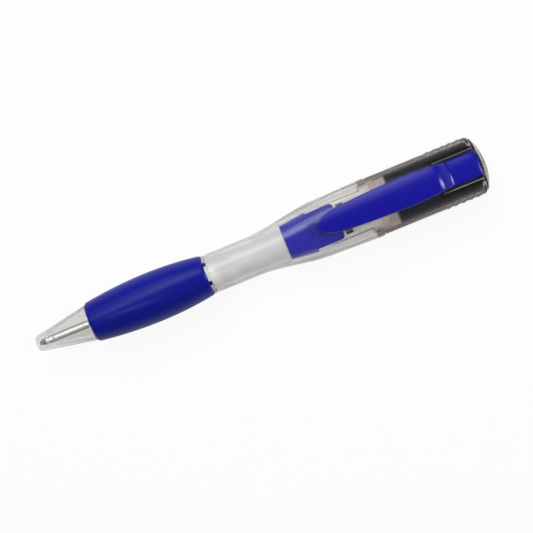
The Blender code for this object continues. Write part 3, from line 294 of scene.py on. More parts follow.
def combined_with(mesh, operation, tool):
    """A mesh joined with another or cut by it."""
    pair = [add_object("first", mesh), add_object("second", tool)]
    boolean = pair[0].modifiers.new("combine", "BOOLEAN")
    boolean.operation = operation
    boolean.object = pair[1]
    seen = bpy.context.evaluated_depsgraph_get()
    result = bpy.data.meshes.new_from_object(pair[0].evaluated_get(seen))
    result.name = mesh.name
    for item in pair:
        bpy.data.objects.remove(item)
    result.set_sharp_from_angle(angle=radians(SHARP_ANGLE))
    return result


def oval_ring(station, sizes, exponent, inset=0.0, share=1.0):
    """A squarish oval across the pen, flat where the pen lies, drawn in by an inset or shrunk to a share.

    Its sizes are the half-width, the top and the bottom.
    """
    half_width, top, bottom = [size - inset for size in sizes]
    ring = []
    for i in range(OVAL_POINTS):
        angle = tau * (i + 0.5) / OVAL_POINTS
        height = top if sin(angle) >= 0.0 else bottom
        y = half_width * signed_power(cos(angle), 2.0 / exponent)
        z = height * signed_power(sin(angle), 2.0 / exponent)
        ring.append((station, y * share, max(z, inset - AXIS_HEIGHT) * share))
    return ring


def rounded_rectangle(station, half_width, half_height, corner, corner_steps=6):
    """A rectangle across the pen with round corners."""
    ring = []
    for quarter in range(4):
        side = 1.0 if quarter in (0, 3) else -1.0
        rise = 1.0 if quarter in (0, 1) else -1.0
        for step in range(corner_steps + 1):
            angle = 0.5 * pi * (quarter + step / corner_steps)
            y = side * (half_width - corner) + corner * cos(angle)
            z = rise * (half_height - corner) + corner * sin(angle)
            ring.append((station, y, z))
    return ring


# Writing end


def key_rings(low, high, half_width, front, rear):
    """The keys between grip and flange, or their notches, spaced about the axis."""
    rings = box_rings((front, -half_width, low), (rear, half_width, high))
    keys = []
    for i in range(KEYS):
        turn = Matrix.Rotation(tau * (i + 0.5) / KEYS, 3, "X")
        keys.append([[tuple(turn @ Vector(point)) for point in ring] for ring in rings])
    return keys


def front_barrel():
    """Clear moulding: nose cone, seat of the grip, notched flange, and journal with a snap bead."""
    tip_length = 1.8
    tip_face = 1.36
    tip_radius = 2.6
    nose_radius = 5.6
    outside = []
    for t in steps_between(0.0, 0.5 * pi, 12):
        outside.append((tip_length * (1.0 - cos(t)), tip_face + (tip_radius - tip_face) * sin(t), 0.0))
    outside += [
        (NOSE_END, nose_radius, 0.25),
        (NOSE_END, GRIP_SEAT, 0.1),
        (GRIP_END, GRIP_SEAT, 0.1),
        (GRIP_END, FLANGE_RADIUS, 0.12),
        (FLANGE_END, FLANGE_RADIUS, 0.12),
        (FLANGE_END, JOURNAL_RADIUS, 0.1),
        (SNAP_BEAD - 0.6, JOURNAL_RADIUS, 0.1),
        (SNAP_BEAD, JOURNAL_RADIUS + 0.25, 0.2),
        (SNAP_BEAD + 0.6, JOURNAL_RADIUS, 0.1),
        (JOURNAL_END, JOURNAL_RADIUS, 0.2),
    ]
    inside = [
        (JOURNAL_END, JOURNAL_BORE, 0.1),
        (FLANGE_END, JOURNAL_BORE, 0.1),
        (FLANGE_END, SEAT_BORE, 0.1),
        (NOSE_END, SEAT_BORE, 0.6),
        (6.0, 1.8, 0.2),
        (5.0, GUIDE_BORE, 0.2),
        (0.0, GUIDE_BORE, 0.0),
    ]
    mesh = turned("front_barrel", rounded(outside + inside))
    notches = key_rings(low=5.15, high=6.6, half_width=0.75, front=GRIP_END - SEAT, rear=FLANGE_END + SEAT)
    return combined(mesh, "DIFFERENCE", notches)


def grip_radius(station):
    """The grip swells in two parabolas to its widest place."""
    rise = 20.3
    peak = NOSE_END + rise
    if station < peak:
        return GRIP_MIDDLE - 1.55 * ((peak - station) / rise) ** 2
    return GRIP_MIDDLE - 1.45 * ((station - peak) / (GRIP_END - peak)) ** 2


def grip_sleeve():
    """Rubber sleeve with rounded ends, keyed to the flange by lugs."""
    front = NOSE_END + SEAT
    rear = GRIP_END - SEAT
    corners = [(front, grip_radius(front), 0.8)]
    corners += [(s, grip_radius(s), 0.0) for s in steps_between(front + 1.2, rear - 1.2, 40)]
    corners += [(rear, grip_radius(rear), 0.8), (rear, GRIP_BORE, 0.1), (front, GRIP_BORE, 0.1)]
    mesh = turned("grip_sleeve", rounded(corners))
    lugs = key_rings(low=5.3, high=5.9, half_width=0.6, front=GRIP_END - 1.0, rear=FLANGE_END - FINE)
    return combined(mesh, "UNION", lugs)


def refill_tube():
    """Thin metal tube of the refill, open at both ends."""
    corners = [
        (TUBE_FRONT, REFILL_RADIUS, 0.08),
        (TUBE_REAR, REFILL_RADIUS, 0.05),
        (TUBE_REAR, TUBE_BORE, 0.05),
        (TUBE_FRONT, TUBE_BORE, 0.05),
    ]
    return turned("refill_tube", rounded(corners))


def refill_tip():
    """Steel point with a crimped seat for the ball, a short cone and a spigot in the tube."""
    shoulder = TUBE_FRONT - FINE
    spigot_end = TUBE_FRONT + 3.0
    spigot_radius = 0.91
    ink_bore = 0.3
    corners = [
        (1.0, 0.5, 0.0),
        (1.3, 0.68, 0.1),
        (1.6, 0.68, 0.1),
        (3.2, REFILL_RADIUS, 0.2),
        (shoulder, REFILL_RADIUS, 0.05),
        (shoulder, spigot_radius, 0.03),
        (spigot_end, spigot_radius, 0.05),
        (spigot_end, ink_bore, 0.0),
        (1.78, ink_bore, 0.0),
        (1.5, 0.52, 0.0),
        (1.3, 0.56, 0.0),
        (1.0, 0.473, 0.0),
    ]
    return turned("refill_tip", rounded(corners))


def writing_ball():
    """The ball in its seat."""
    middle = 1.3
    radius = 0.5
    turns = steps_between(0.04, pi - 0.04, 22)
    return skin("writing_ball", [circle(middle - radius * cos(t), radius * sin(t), 40) for t in turns])


# Rear barrel and what is fixed in it


def barrel_half_width(station):
    """Half the barrel's width: a round neck, an eased flare and a cap that opens slowly to its lip."""
    if station < FLARE_END:
        share = smooth(way(station, FLARE_START, FLARE_END))
        return NECK_RADIUS + (CAP_HALF_WIDTH - NECK_RADIUS) * share
    share = way(station, FLARE_END, LIP_START)
    return CAP_HALF_WIDTH + (LIP_HALF_WIDTH - CAP_HALF_WIDTH) * share


def barrel_ring(station, inset=0.0):
    """The barrel's outside, which turns from round to oval as it widens."""
    half_width = barrel_half_width(station)
    share = (half_width - NECK_RADIUS) / (LIP_HALF_WIDTH - NECK_RADIUS)
    top = NECK_RADIUS + (OVAL_TOP - NECK_RADIUS) * share
    bottom = NECK_RADIUS + (OVAL_BOTTOM - NECK_RADIUS) * share
    exponent = 2.0 + (OVAL_EXPONENT - 2.0) * share
    return oval_ring(station, (half_width, top, bottom), exponent, inset)


def bore_sizes(station):
    """Sizes of the barrel's inside, and their exponent."""
    share = way(station, BORE_END, BORE_FLARE_END)
    sizes = [NECK_BORE + (mouth - NECK_BORE) * share for mouth in MOUTH]
    return sizes, 2.0 + (OVAL_EXPONENT - 2.0) * share


def bore_ring(station, inset=0.0):
    """The barrel's inside, or with an inset, a piece that fits in it."""
    return oval_ring(station, *bore_sizes(station), inset)


def edge_rings(ring, fit, station, inward, radius, count=4):
    """Rings of a round edge, from front to rear. inward is 1 at a front edge and -1 at a rear edge."""
    rings = []
    for t in steps_between(0.0, 0.5 * pi, count):
        rings.append(ring(station + inward * radius * (1.0 - cos(t)), fit + radius * (1.0 - sin(t))))
    return rings[::inward]


def rear_barrel():
    """Frosted barrel, open at both ends, with a groove for the journal's bead."""
    outside = edge_rings(barrel_ring, 0.0, BARREL_START, 1, EDGE_ROUND)
    outside += [barrel_ring(s) for s in steps_between(FLARE_START, FLARE_END, 36)]
    outside += [barrel_ring(s) for s in steps_between(FLARE_END, LIP_START, 10)[1:]]
    outside += edge_rings(barrel_ring, 0.0, BARREL_END, -1, LIP_ROUND)
    inside = [bore_ring(BARREL_END, -0.25), bore_ring(BARREL_END - 0.35)]
    inside += [bore_ring(s) for s in steps_between(BARREL_END - 1.0, BORE_END, 24)]
    for offset, depth in ((0.9, 0.0), (0.0, 0.25), (-0.9, 0.0)):
        inside.append(bore_ring(SNAP_BEAD + offset, -depth))
    inside.append(bore_ring(BARREL_START))
    return skin("rear_barrel", outside + inside, closed=True)


def twist_cam_tube():
    """Tube fixed in the barrel by two lands, with the helical slot of the twist action."""
    land = NECK_BORE - SEAT
    corners = [(CAM_START, CAM_RADIUS, 0.2)]
    for front, rear in CAM_LANDS:
        corners += [(front, CAM_RADIUS, 0.1), (front, land, 0.15)]
        corners += [(rear, land, 0.15), (rear, CAM_RADIUS, 0.1)]
    corners += [(CAM_END, CAM_RADIUS, 0.2), (CAM_END, CAM_BORE, 0.1), (CAM_START, CAM_BORE, 0.1)]
    half_width = 0.85
    inner = CAM_BORE - 0.8
    outer = CAM_RADIUS + 1.0
    section = ((-half_width, inner), (-half_width, outer), (half_width, outer), (half_width, inner))
    overrun = 0.25
    slot = []
    for angle in steps_between(-overrun, pi + overrun, 48):
        station = FOLLOWER - TWIST_THROW * angle / pi
        slot.append([(station + along, reach * cos(angle), reach * sin(angle)) for along, reach in section])
    return combined(turned("twist_cam_tube", rounded(corners)), "DIFFERENCE", [slot])


def flap(side):
    """One of the two flaps over and under the plug, round at its free corners and shaped to the bore."""
    half_width = 5.5
    inner = 2.45
    outer = 4.45
    radius = 1.1
    fit = 0.34
    beyond = 1.2
    root = HOLDER_END - beyond
    turns = steps_between(0.0, 0.5 * pi, 8)
    corner = [(FLAP_END - radius + radius * sin(t), half_width - radius + radius * cos(t)) for t in turns]
    outline = [(root, half_width), (root, -half_width)]
    outline += [(s, -y) for s, y in corner] + corner[::-1]
    mesh = skin("flap", prism_rings(outline, *sorted((side * inner, side * outer))))
    stations = steps_between(root - beyond, FLAP_END + beyond, 8)
    return combined(mesh, "INTERSECT", [[bore_ring(s, fit) for s in stations]])


def plug_holder():
    """Blue insert that stops the cam tube and grips the plug between its flaps."""
    fit = 0.28
    rings = edge_rings(bore_ring, fit, HOLDER_START, 1, 0.4)
    rings += [bore_ring(s, fit) for s in steps_between(HOLDER_START + 1.0, HOLDER_END - 1.0, 6)]
    rings += edge_rings(bore_ring, fit, HOLDER_END, -1, 0.25)
    mesh = skin("plug_holder", rings)
    for side in (1.0, -1.0):
        mesh = combined_with(mesh, "UNION", flap(side))
    wall = 1.48
    reach = bore_sizes(HOLDER_START)[0][0] - wall
    half_height = 1.95
    low = (HOLDER_START + 1.5, -reach, -half_height)
    hollow = box_rings(low, (HOLDER_END + 1.2, reach, half_height))
    return combined(mesh, "DIFFERENCE", [hollow])


# Drive


def housing_ring(station, inset=0.0, share=1.0):
    """The drive housing's outside."""
    return oval_ring(station, (HOUSING_HALF_WIDTH, OVAL_TOP, OVAL_BOTTOM), OVAL_EXPONENT, inset, share)


def cavity_ring(station, inset=0.0, share=1.0):
    """The housing's inside, or with an inset, a piece that fits in it."""
    return oval_ring(station, CAVITY, OVAL_EXPONENT, inset, share)


def pocket_outline(margin=0.0):
    """The clip's pocket seen from above: straight in front, bowed like the domed end behind."""
    half_width = POCKET_HALF_WIDTH + margin
    outline = [(POCKET_START - margin, half_width), (POCKET_START - margin, -half_width)]
    for y in steps_between(-half_width, half_width, 20):
        outline.append((POCKET_END + margin - dome_drop(y), y))
    return outline


def rib_swell(station, height):
    """How far the finger ribs on the narrow edges stand out of the housing, eased off at both ends."""
    half_height = 2.4
    pitch = 2.4
    middle = HOUSING_END - 10.3
    swell = 0.0
    for i in range(5):
        offset = (station - (middle + pitch * (i - 2))) / 0.9
        if abs(offset) < 1.0 and abs(height) < half_height:
            swell = 0.22 * cos(0.5 * pi * offset) ** 2 * cos(0.5 * pi * height / half_height)
    return swell


def ribbed_ring(station):
    """The housing's outside where it has the ribs."""
    ring = housing_ring(station)
    return [(s, y + (rib_swell(s, z) if y > 0.0 else -rib_swell(s, z)), z) for s, y, z in ring]


def housing_cavity():
    """The hollow of the housing, with the clip's pocket and the board's ledges left standing in it."""
    rings = [cavity_ring(HOUSING_START - 1.0), cavity_ring(dome_station(1.0) - HOUSING_WALL)]
    for share in steps_between(0.94, 0.46, 10):
        rings.append(cavity_ring(dome_station(share) - HOUSING_WALL, 0.0, share))
    tub = prism_rings(pocket_outline(HOUSING_WALL), POCKET_FLOOR - HOUSING_WALL, OVAL_TOP)
    mesh = combined(skin("cavity", rings), "DIFFERENCE", [tub])
    ledge = 6.7
    ledges = []
    for low, high in ((ledge, HOUSING_HALF_WIDTH), (-HOUSING_HALF_WIDTH, -ledge)):
        ledges.append(box_rings((BOARD_FRONT, low, -AXIS_HEIGHT), (HOUSING_END, high, BOARD_BOTTOM - 0.1)))
    return combined(mesh, "DIFFERENCE", ledges)


def drive_housing():
    """Smoke-clear cup with a domed end, a pocket for the clip and ribbed edges."""
    side = dome_station(1.0)
    ribs = HOUSING_END - 16.4
    corner = 0.8
    rings = edge_rings(housing_ring, 0.0, HOUSING_START, 1, LIP_ROUND)
    rings += [housing_ring(s) for s in steps_between(HOUSING_START + 1.0, ribs, 6)[:-1]]
    rings += [ribbed_ring(s) for s in steps_between(ribs, side - 1.4, 80)]
    for t in steps_between(0.0, 0.5 * pi, 7)[:-1]:
        rings.append(housing_ring(side - corner * (1.0 - sin(t)), corner * (1.0 - cos(t))))
    rings += [housing_ring(dome_station(share), 0.0, share) for share in steps_between(0.91, 0.05, 16)]
    mesh = combined_with(skin("drive_housing", rings), "DIFFERENCE", housing_cavity())
    pocket = []
    for z, margin in ((POCKET_FLOOR, 0.0), (RIM_LOW, 0.0), (RIM_HIGH, RIM), (OVAL_TOP + 2.0, RIM)):
        pocket.append([(s, y, z) for s, y in pocket_outline(margin)])
    holes = [peg_rings(s, PEG_RADIUS + SEAT, POCKET_FLOOR - 2.0, POCKET_FLOOR + 0.5) for s in peg_stations()]
    mesh = combined(mesh, "DIFFERENCE", [pocket])
    return combined(mesh, "DIFFERENCE", holes)


def peg_stations():
    """Where the clip's two pegs sit."""
    middle = 0.5 * (CLIP_HINGE + CLIP_ROOT_END)
    return (middle - 2.0, middle + 2.0)


def plug_ring(station, inset=0.0, corner=0.6):
    """The plug's outline across the pen, drawn in by an inset."""
    return rounded_rectangle(station, PLUG_HALF_WIDTH - inset, PLUG_HALF_HEIGHT - inset, corner)


def housing_bezel():
    """Front of the housing, whose spigot fits the barrel's mouth and which holds the plug."""
    rings = edge_rings(bore_ring, SLIDE, SPIGOT_START, 1, EDGE_ROUND)
    rings.append(bore_ring(HOUSING_START + EDGE_ROUND, SLIDE))
    rings.append(cavity_ring(HOUSING_START + EDGE_ROUND, SEAT))
    rings += edge_rings(cavity_ring, SEAT, BEZEL_END, -1, 0.15)
    ends = (SPIGOT_START - 2.4, HOUSING_START + 4.4)
    hole = [plug_ring(s, -SEAT, 0.75) for s in ends]
    return combined(skin("housing_bezel", rings), "DIFFERENCE", [hole])


def plug_shell():
    """Folded metal shell of the plug, open at both ends, with its latch windows."""
    wall = 0.3
    rings = edge_rings(plug_ring, 0.0, PLUG_FRONT, 1, 0.14)
    rings.append(plug_ring(PLUG_REAR))
    rings += [plug_ring(s, wall, wall) for s in (PLUG_REAR, PLUG_FRONT)]
    middle = PLUG_FRONT + 6.4
    apart = 3.65
    half = 1.1
    cut = 2.0 * PLUG_HALF_HEIGHT
    windows = []
    for y in (apart, -apart):
        low = (middle - half, y - half, -cut)
        windows.append(box_rings(low, (middle + half, y + half, cut)))
    return combined(skin("plug_shell", rings, closed=True), "DIFFERENCE", windows)


def core_cover():
    """Black cover above the board, hollow below, cut away round the clip's pocket, with a domed rear."""
    side = dome_station(1.0) - HOUSING_WALL - SEAT
    cover_wall = 1.3
    front_wall = 2.2
    rings = edge_rings(cavity_ring, SEAT, BOARD_FRONT, 1, 1.2, 6)
    rings += [cavity_ring(s, SEAT) for s in steps_between(BOARD_FRONT + 2.0, side - 0.4, 8)]
    for share in steps_between(0.96, 0.6, 10):
        rings.append(cavity_ring(dome_station(share) - HOUSING_WALL - 2.0 * SEAT, SEAT, share))
    mesh = skin("core_cover", rings)
    rooms = (
        (HOUSING_START, HOUSING_END, HOUSING_HALF_WIDTH, BOARD_TOP + FINE),
        (BOARD_FRONT + front_wall, side - cover_wall, CAVITY[0] - cover_wall, 1.95),
        (HOUSING_START, BOARD_FRONT + front_wall + cover_wall, 4.5, 0.7),
    )
    for front, rear, reach, top in rooms:
        mesh = combined(mesh, "DIFFERENCE", [box_rings((front, -reach, -AXIS_HEIGHT), (rear, reach, top))])
    margin = HOUSING_WALL + SEAT
    tub = prism_rings(pocket_outline(margin), POCKET_FLOOR - margin, OVAL_TOP)
    return combined(mesh, "DIFFERENCE", [tub])


def circuit_board():
    """Black board across the housing, with its corners cut off and its edges broken."""
    reach = CAVITY[0] * (1.0 - (-BOARD_BOTTOM / CAVITY[2]) ** OVAL_EXPONENT) ** (1.0 / OVAL_EXPONENT) - SEAT
    corner = 1.6
    edge = 0.08
    levels = ((BOARD_BOTTOM, edge), (BOARD_BOTTOM + edge, 0.0), (BOARD_TOP - edge, 0.0), (BOARD_TOP, edge))
    rings = []
    for z, inset in levels:
        outline = [
            (BOARD_FRONT + inset, reach - corner),
            (BOARD_FRONT + corner, reach - inset),
            (BOARD_REAR - corner, reach - inset),
            (BOARD_REAR - inset, reach - corner),
        ]
        outline += [(s, -y) for s, y in outline[::-1]]
        rings.append([(s, y, z) for s, y in outline])
    return skin("circuit_board", rings)


def add_pin(shape, root, outward, across, drop):
    """A bent lead: out of the package, down to the board and out along it."""
    path = ((0.0, 0.0), (0.3, 0.0), (0.45, 1.0), (0.85, 1.0))
    half_width = 0.11
    thick = 0.12
    section = ((-half_width, 0.0), (half_width, 0.0), (half_width, thick), (-half_width, thick))
    rings = []
    for reach, fall in path:
        ring = []
        for side, lift in section:
            ring.append(root + outward * reach + across * side + Vector((0.0, 0.0, fall * drop + lift)))
        rings.append(ring)
    add_skin(shape, rings)


def chip_leads(name, middle, half_length, count, height, drop, four_sided=True):
    """The rows of leads on two or on four sides of a package."""
    shape = bmesh.new()
    along = Vector((1.0, 0.0, 0.0))
    across = Vector((0.0, 1.0, 0.0))
    sides = [(along, across), (-along, across)]
    if four_sided:
        sides += [(across, along), (-across, along)]
    for outward, row in sides:
        for i in range(count):
            offset = LEAD_PITCH * (i - 0.5 * (count - 1))
            root = Vector((middle, 0.0, height)) + outward * half_length + row * offset
            add_pin(shape, root, outward, row, drop)
    return finish_mesh(shape, name)


def controller_leads():
    """Leads on all four sides of the controller, above the board."""
    middle = BOARD_FRONT + 7.8
    half_length = 3.5
    return chip_leads("controller_leads", middle, half_length, count=12, height=-0.06, drop=-0.56)


def flash_leads():
    """Leads on both ends of the flash chip, below the board."""
    middle = BOARD_FRONT + 12.5
    half_length = 9.2
    return chip_leads("flash_leads", middle, half_length, count=24, height=-2.3, drop=0.5, four_sided=False)


def capacitor_ends():
    """Metal ends of the three small capacitors."""
    shape = bmesh.new()
    middle = BOARD_FRONT + 17.6
    half_length = 0.2
    half_width = 0.53
    for y in (-1.8, 0.0, 1.8):
        for end in (middle - 0.74, middle + 0.74):
            low = (end - half_length, y - half_width, BOARD_TOP + 0.02)
            add_skin(shape, box_rings(low, (end + half_length, y + half_width, BOARD_TOP + 0.93)))
    return finish_mesh(shape, "capacitor_ends")


def solder_joints():
    """Solder heaped over the tails of the plug's contacts on the board."""
    shape = bmesh.new()
    middle = BOARD_FRONT + 1.5
    half_width = 0.72
    height = 0.46
    turns = [tau * i / 24 for i in range(24)]
    for y in (-3.5, -1.0, 1.0, 3.5):
        rings = []
        for t in steps_between(0.0, 0.46 * pi, 6):
            ring = [(middle + cos(t) * cos(a), y + half_width * cos(t) * sin(a)) for a in turns]
            rings.append([(s, w, BOARD_TOP + 0.02 + height * sin(t)) for s, w in ring])
        add_skin(shape, rings)
    return finish_mesh(shape, "solder_joints")


def clip_half_width(station):
    """Half the clip's width: an elliptical tip, a slow swell, a waist at the bend and a round rear end."""
    if station < CLIP_TAPER_END:
        return CLIP_TIP_HALF_WIDTH * sqrt(1.0 - way(station, CLIP_TAPER_END, CLIP_TIP) ** 2)
    if station < CLIP_WIDEST:
        share = way(station, CLIP_TAPER_END, CLIP_WIDEST)
        return CLIP_TIP_HALF_WIDTH + (CLIP_HALF_WIDTH - CLIP_TIP_HALF_WIDTH) * share * (2.0 - share)
    if station < CLIP_HINGE:
        share = smooth(way(station, CLIP_WIDEST, CLIP_HINGE))
        return CLIP_HALF_WIDTH - (CLIP_HALF_WIDTH - CLIP_WAIST_HALF_WIDTH) * share
    drop = CLIP_ROOT_END - station
    return min(CLIP_WAIST_HALF_WIDTH, sqrt(max(0.0, DOME_RADIUS ** 2 - (DOME_RADIUS - drop) ** 2)))


def clip_bottom(station):
    """Height of the clip's underside: a straight arm and a bend down to the root."""
    share = way(station, CLIP_BEND, CLIP_HINGE)
    bend = 1.0 - cos(0.5 * pi * share)
    return CLIP_ARM_BOTTOM - (CLIP_ARM_BOTTOM - CLIP_ROOT_BOTTOM) * bend


def clip_nub(station):
    """How far the nub near the clip's tip stands below the arm."""
    middle = CLIP_TIP + 6.0
    half_length = 2.5
    depth = 0.3
    return depth * max(0.0, 1.0 - ((station - middle) / half_length) ** 2)


def clip_ring(station):
    """The clip's section: flat below, crowned above, with rounded edges that thin out towards both ends."""
    half_width = clip_half_width(station)
    bottom = clip_bottom(station)
    under = bottom - clip_nub(station)
    thickness = 1.1
    bulge = 0.6
    edge = min(0.42, 0.45 * half_width)
    from_end = min(station - CLIP_TIP, CLIP_ROOT_END - station)
    thin = 0.55 * (1.0 - sqrt(max(0.0, 1.0 - (1.0 - min(1.0, from_end / 0.9)) ** 2)))
    crown = []
    for y in steps_between(half_width - edge, edge - half_width, 20):
        crown.append((station, y, bottom + thickness - thin + bulge * (1.0 - (y / CLIP_HALF_WIDTH) ** 2)))
    side = []
    for t in steps_between(0.0, 0.5 * pi, 5)[1:]:
        y = edge - half_width - edge * sin(t)
        drop = edge * (1.0 - cos(t)) * 1.2
        side.append((station, y, crown[-1][2] - drop))
    low = [
        (station, -half_width, under + 0.18 + 0.3 * thin),
        (station, 0.12 - half_width, under + 0.4 * thin),
    ]
    left = side + low
    right = [(s, -y, z) for s, y, z in left[::-1]]
    return crown + left + right


def clip():
    """The whole clip: springy arm, bend and root, with the two pegs under it."""
    taper = CLIP_TAPER_END - CLIP_TIP
    stations = [CLIP_TIP + taper * share ** 2 for share in steps_between(0.05, 1.0, 30)]
    stations += steps_between(CLIP_TAPER_END, CLIP_BEND, 24)[1:]
    stations += steps_between(CLIP_BEND, CLIP_HINGE, 22)[1:]
    last = 0.5
    stations += steps_between(CLIP_HINGE, CLIP_ROOT_END - last, 10)[1:]
    stations += [CLIP_ROOT_END - last * (1.0 - share) ** 2 for share in steps_between(0.0, 0.95, 10)[1:]]
    shape = bmesh.new()
    add_skin(shape, [clip_ring(s) for s in stations])
    for s in peg_stations():
        add_skin(shape, peg_rings(s, PEG_RADIUS, CLIP_ROOT_BOTTOM - 0.8, CLIP_ROOT_BOTTOM + 0.5))
    return finish_mesh(shape, "clip", sharp=60.0)


# Materials

WHITE = (1.0, 1.0, 1.0)
CLEAR_SHADE = (0.95, 0.95, 0.94)

# How much of a steep side's normal lies across the pen
STEEP = 0.92


def add_node(tree, kind, values=None):
    """A node with some of its inputs set."""
    made = tree.nodes.new(kind)
    for socket, value in (values or {}).items():
        made.inputs[socket].default_value = value
    return made


def principled(name, values):
    """A material with one Principled shader, and the sockets that are the same all over it set."""
    made = bpy.data.materials.new(name)
    made.use_nodes = True
    shader = made.node_tree.nodes["Principled BSDF"]
    for socket, value in values.items():
        shader.inputs[socket].default_value = value
    return made, made.node_tree, shader


def lay_on(tree, node, kind="Object"):
    """Give a node the surface's coordinates of a kind."""
    place = tree.nodes.new("ShaderNodeTexCoord")
    tree.links.new(place.outputs[kind], node.inputs["Vector"])


def grain(tree, scale, stretch=(1.0, 1.0, 1.0), detail=4.0):
    """Noise over the piece's own coordinates, with a scale per metre."""
    mapping = add_node(tree, "ShaderNodeMapping", {"Scale": stretch})
    noise = add_node(tree, "ShaderNodeTexNoise", {"Scale": scale, "Detail": detail})
    lay_on(tree, mapping)
    tree.links.new(mapping.outputs["Vector"], noise.inputs["Vector"])
    return noise.outputs["Fac"]


def ranged(tree, value, ends, values, kind="SMOOTHSTEP"):
    """A value mapped from one range to another."""
    span = {"From Min": ends[0], "From Max": ends[1], "To Min": values[0], "To Max": values[1]}
    made = add_node(tree, "ShaderNodeMapRange", span)
    made.interpolation_type = kind
    tree.links.new(value, made.inputs["Value"])
    return made.outputs["Result"]


def roughen(tree, factor, low, high, shader):
    """Send a factor from 0 to 1 to the shader's roughness as a range of values."""
    tree.links.new(ranged(tree, factor, (0.0, 1.0), (low, high), "LINEAR"), shader.inputs["Roughness"])


def two_tone(tree, factor, first, second, shader):
    """Send a blend of two colours to the shader."""
    mix = tree.nodes.new("ShaderNodeMix")
    mix.data_type = "RGBA"
    mix.inputs[6].default_value = (*first, 1.0)
    mix.inputs[7].default_value = (*second, 1.0)
    tree.links.new(factor, mix.inputs[0])
    tree.links.new(mix.outputs[2], shader.inputs["Base Color"])


def relief(tree, factor, depth, shader, strength=0.3):
    """Bump of a depth in metres."""
    bump = add_node(tree, "ShaderNodeBump", {"Strength": strength, "Distance": depth})
    tree.links.new(factor, bump.inputs["Height"])
    tree.links.new(bump.outputs["Normal"], shader.inputs["Normal"])


def mix_shaders(tree, factor, first, second, output="Material Output"):
    """Send a blend of two shaders to the output."""
    mix = tree.nodes.new("ShaderNodeMixShader")
    tree.links.new(factor, mix.inputs["Fac"])
    tree.links.new(first.outputs[0], mix.inputs[1])
    tree.links.new(second.outputs[0], mix.inputs[2])
    tree.links.new(mix.outputs["Shader"], tree.nodes[output].inputs["Surface"])


def let_light_through(tree, shader, tint):
    """Rays towards lamps pass straight through, so that what is behind the plastic is lit."""
    path = tree.nodes.new("ShaderNodeLightPath")
    clear = add_node(tree, "ShaderNodeBsdfTransparent", {"Color": (*tint, 1.0)})
    mix_shaders(tree, path.outputs["Is Shadow Ray"], shader, clear)


def absorb(tree, colour, density):
    """Tint that deepens with the thickness of the plastic."""
    volume = add_node(tree, "ShaderNodeVolumeAbsorption", {"Color": (*colour, 1.0), "Density": density})
    tree.links.new(volume.outputs["Volume"], tree.nodes["Material Output"].inputs["Volume"])


def coordinate(tree, kind, axis):
    """One of a surface's coordinates of a kind."""
    parts = tree.nodes.new("ShaderNodeSeparateXYZ")
    lay_on(tree, parts, kind)
    return parts.outputs[axis]


def along_pen(tree, stations, values):
    """A value that eases from one to another between two stations."""
    ends = [spot(station, 0.0, 0.0).x for station in stations]
    return ranged(tree, coordinate(tree, "Object", "X"), ends, values)


def from_axis(tree, radii, values):
    """A value that changes evenly from one to another between two distances from the pen's axis."""
    about_axis = {"Location": (0.0, 0.0, -AXIS_HEIGHT * MM), "Scale": (0.0, 1.0, 1.0)}
    shift = add_node(tree, "ShaderNodeMapping", about_axis)
    lay_on(tree, shift)
    reach = tree.nodes.new("ShaderNodeVectorMath")
    reach.operation = "LENGTH"
    tree.links.new(shift.outputs["Vector"], reach.inputs[0])
    return ranged(tree, reach.outputs["Value"], [radius * MM for radius in radii], values, "LINEAR")


def worked_out(tree, operation, *values):
    """The result of an operation on values from other nodes."""
    result = tree.nodes.new("ShaderNodeMath")
    result.operation = operation
    for value, socket in zip(values, result.inputs):
        tree.links.new(value, socket)
    return result.outputs["Value"]


def side_facing(tree, start, values=(0.0, 1.0)):
    """A value that eases from one to another as the surface turns to look across the pen."""
    turn = worked_out(tree, "ABSOLUTE", coordinate(tree, "Normal", "Y"))
    return ranged(tree, turn, (start, 1.0), values)


def see_through(name, tint, density, shade, bending, coat=(0.0, 0.03), sheen=0.25):
    """Moulded see-through plastic with faint flow marks and a tint that deepens with thickness."""
    values = {"Base Color": (*WHITE, 1.0), "IOR": bending, "Transmission Weight": 1.0}
    values |= {"Coat Weight": coat[0], "Coat Roughness": coat[1]}
    values |= {"Sheen Weight": sheen, "Sheen Roughness": 0.35}
    made, tree, shader = principled(name, values)
    relief(tree, grain(tree, 160.0, (0.3, 1.0, 1.0), 2.0), 0.00001, shader, 0.1)
    absorb(tree, tint, density)
    let_light_through(tree, shader, shade)
    return made, tree, shader


def clear_plastic():
    """Clear moulding, frosted on the flange where the writing end meets the barrel."""
    made, tree, shader = see_through("clear_moulding", (0.35, 0.34, 0.30), 70.0, CLEAR_SHADE, 1.3)
    under_grip = (GRIP_END - 9.5, GRIP_END - 1.5)
    tree.links.new(along_pen(tree, under_grip, (0.2, 0.4)), shader.inputs["Roughness"])
    before = along_pen(tree, (GRIP_END - 2.5, GRIP_END - 1.0), (1.0, 0.65))
    behind = along_pen(tree, (FLANGE_END, FLANGE_END + 0.5), (0.0, 0.97))
    tree.links.new(worked_out(tree, "MAXIMUM", before, behind), shader.inputs["Transmission Weight"])
    return made


def smoke_plastic():
    """Clear moulding with a warm grey tint, and painted shade that darkens it along its sides."""
    tint = (0.36, 0.25, 0.20)
    shade = (0.90, 0.88, 0.87)
    made, tree, shader = see_through("smoke_moulding", tint, 320.0, shade, 1.24, (0.35, 0.08), 0.05)
    # Painted shade: a darker base colour on the steep sides
    side = side_facing(tree, STEEP)
    two_tone(tree, side, WHITE, (0.10, 0.085, 0.075), shader)
    roughen(tree, grain(tree, 900.0), 0.06, 0.10, shader)
    return made


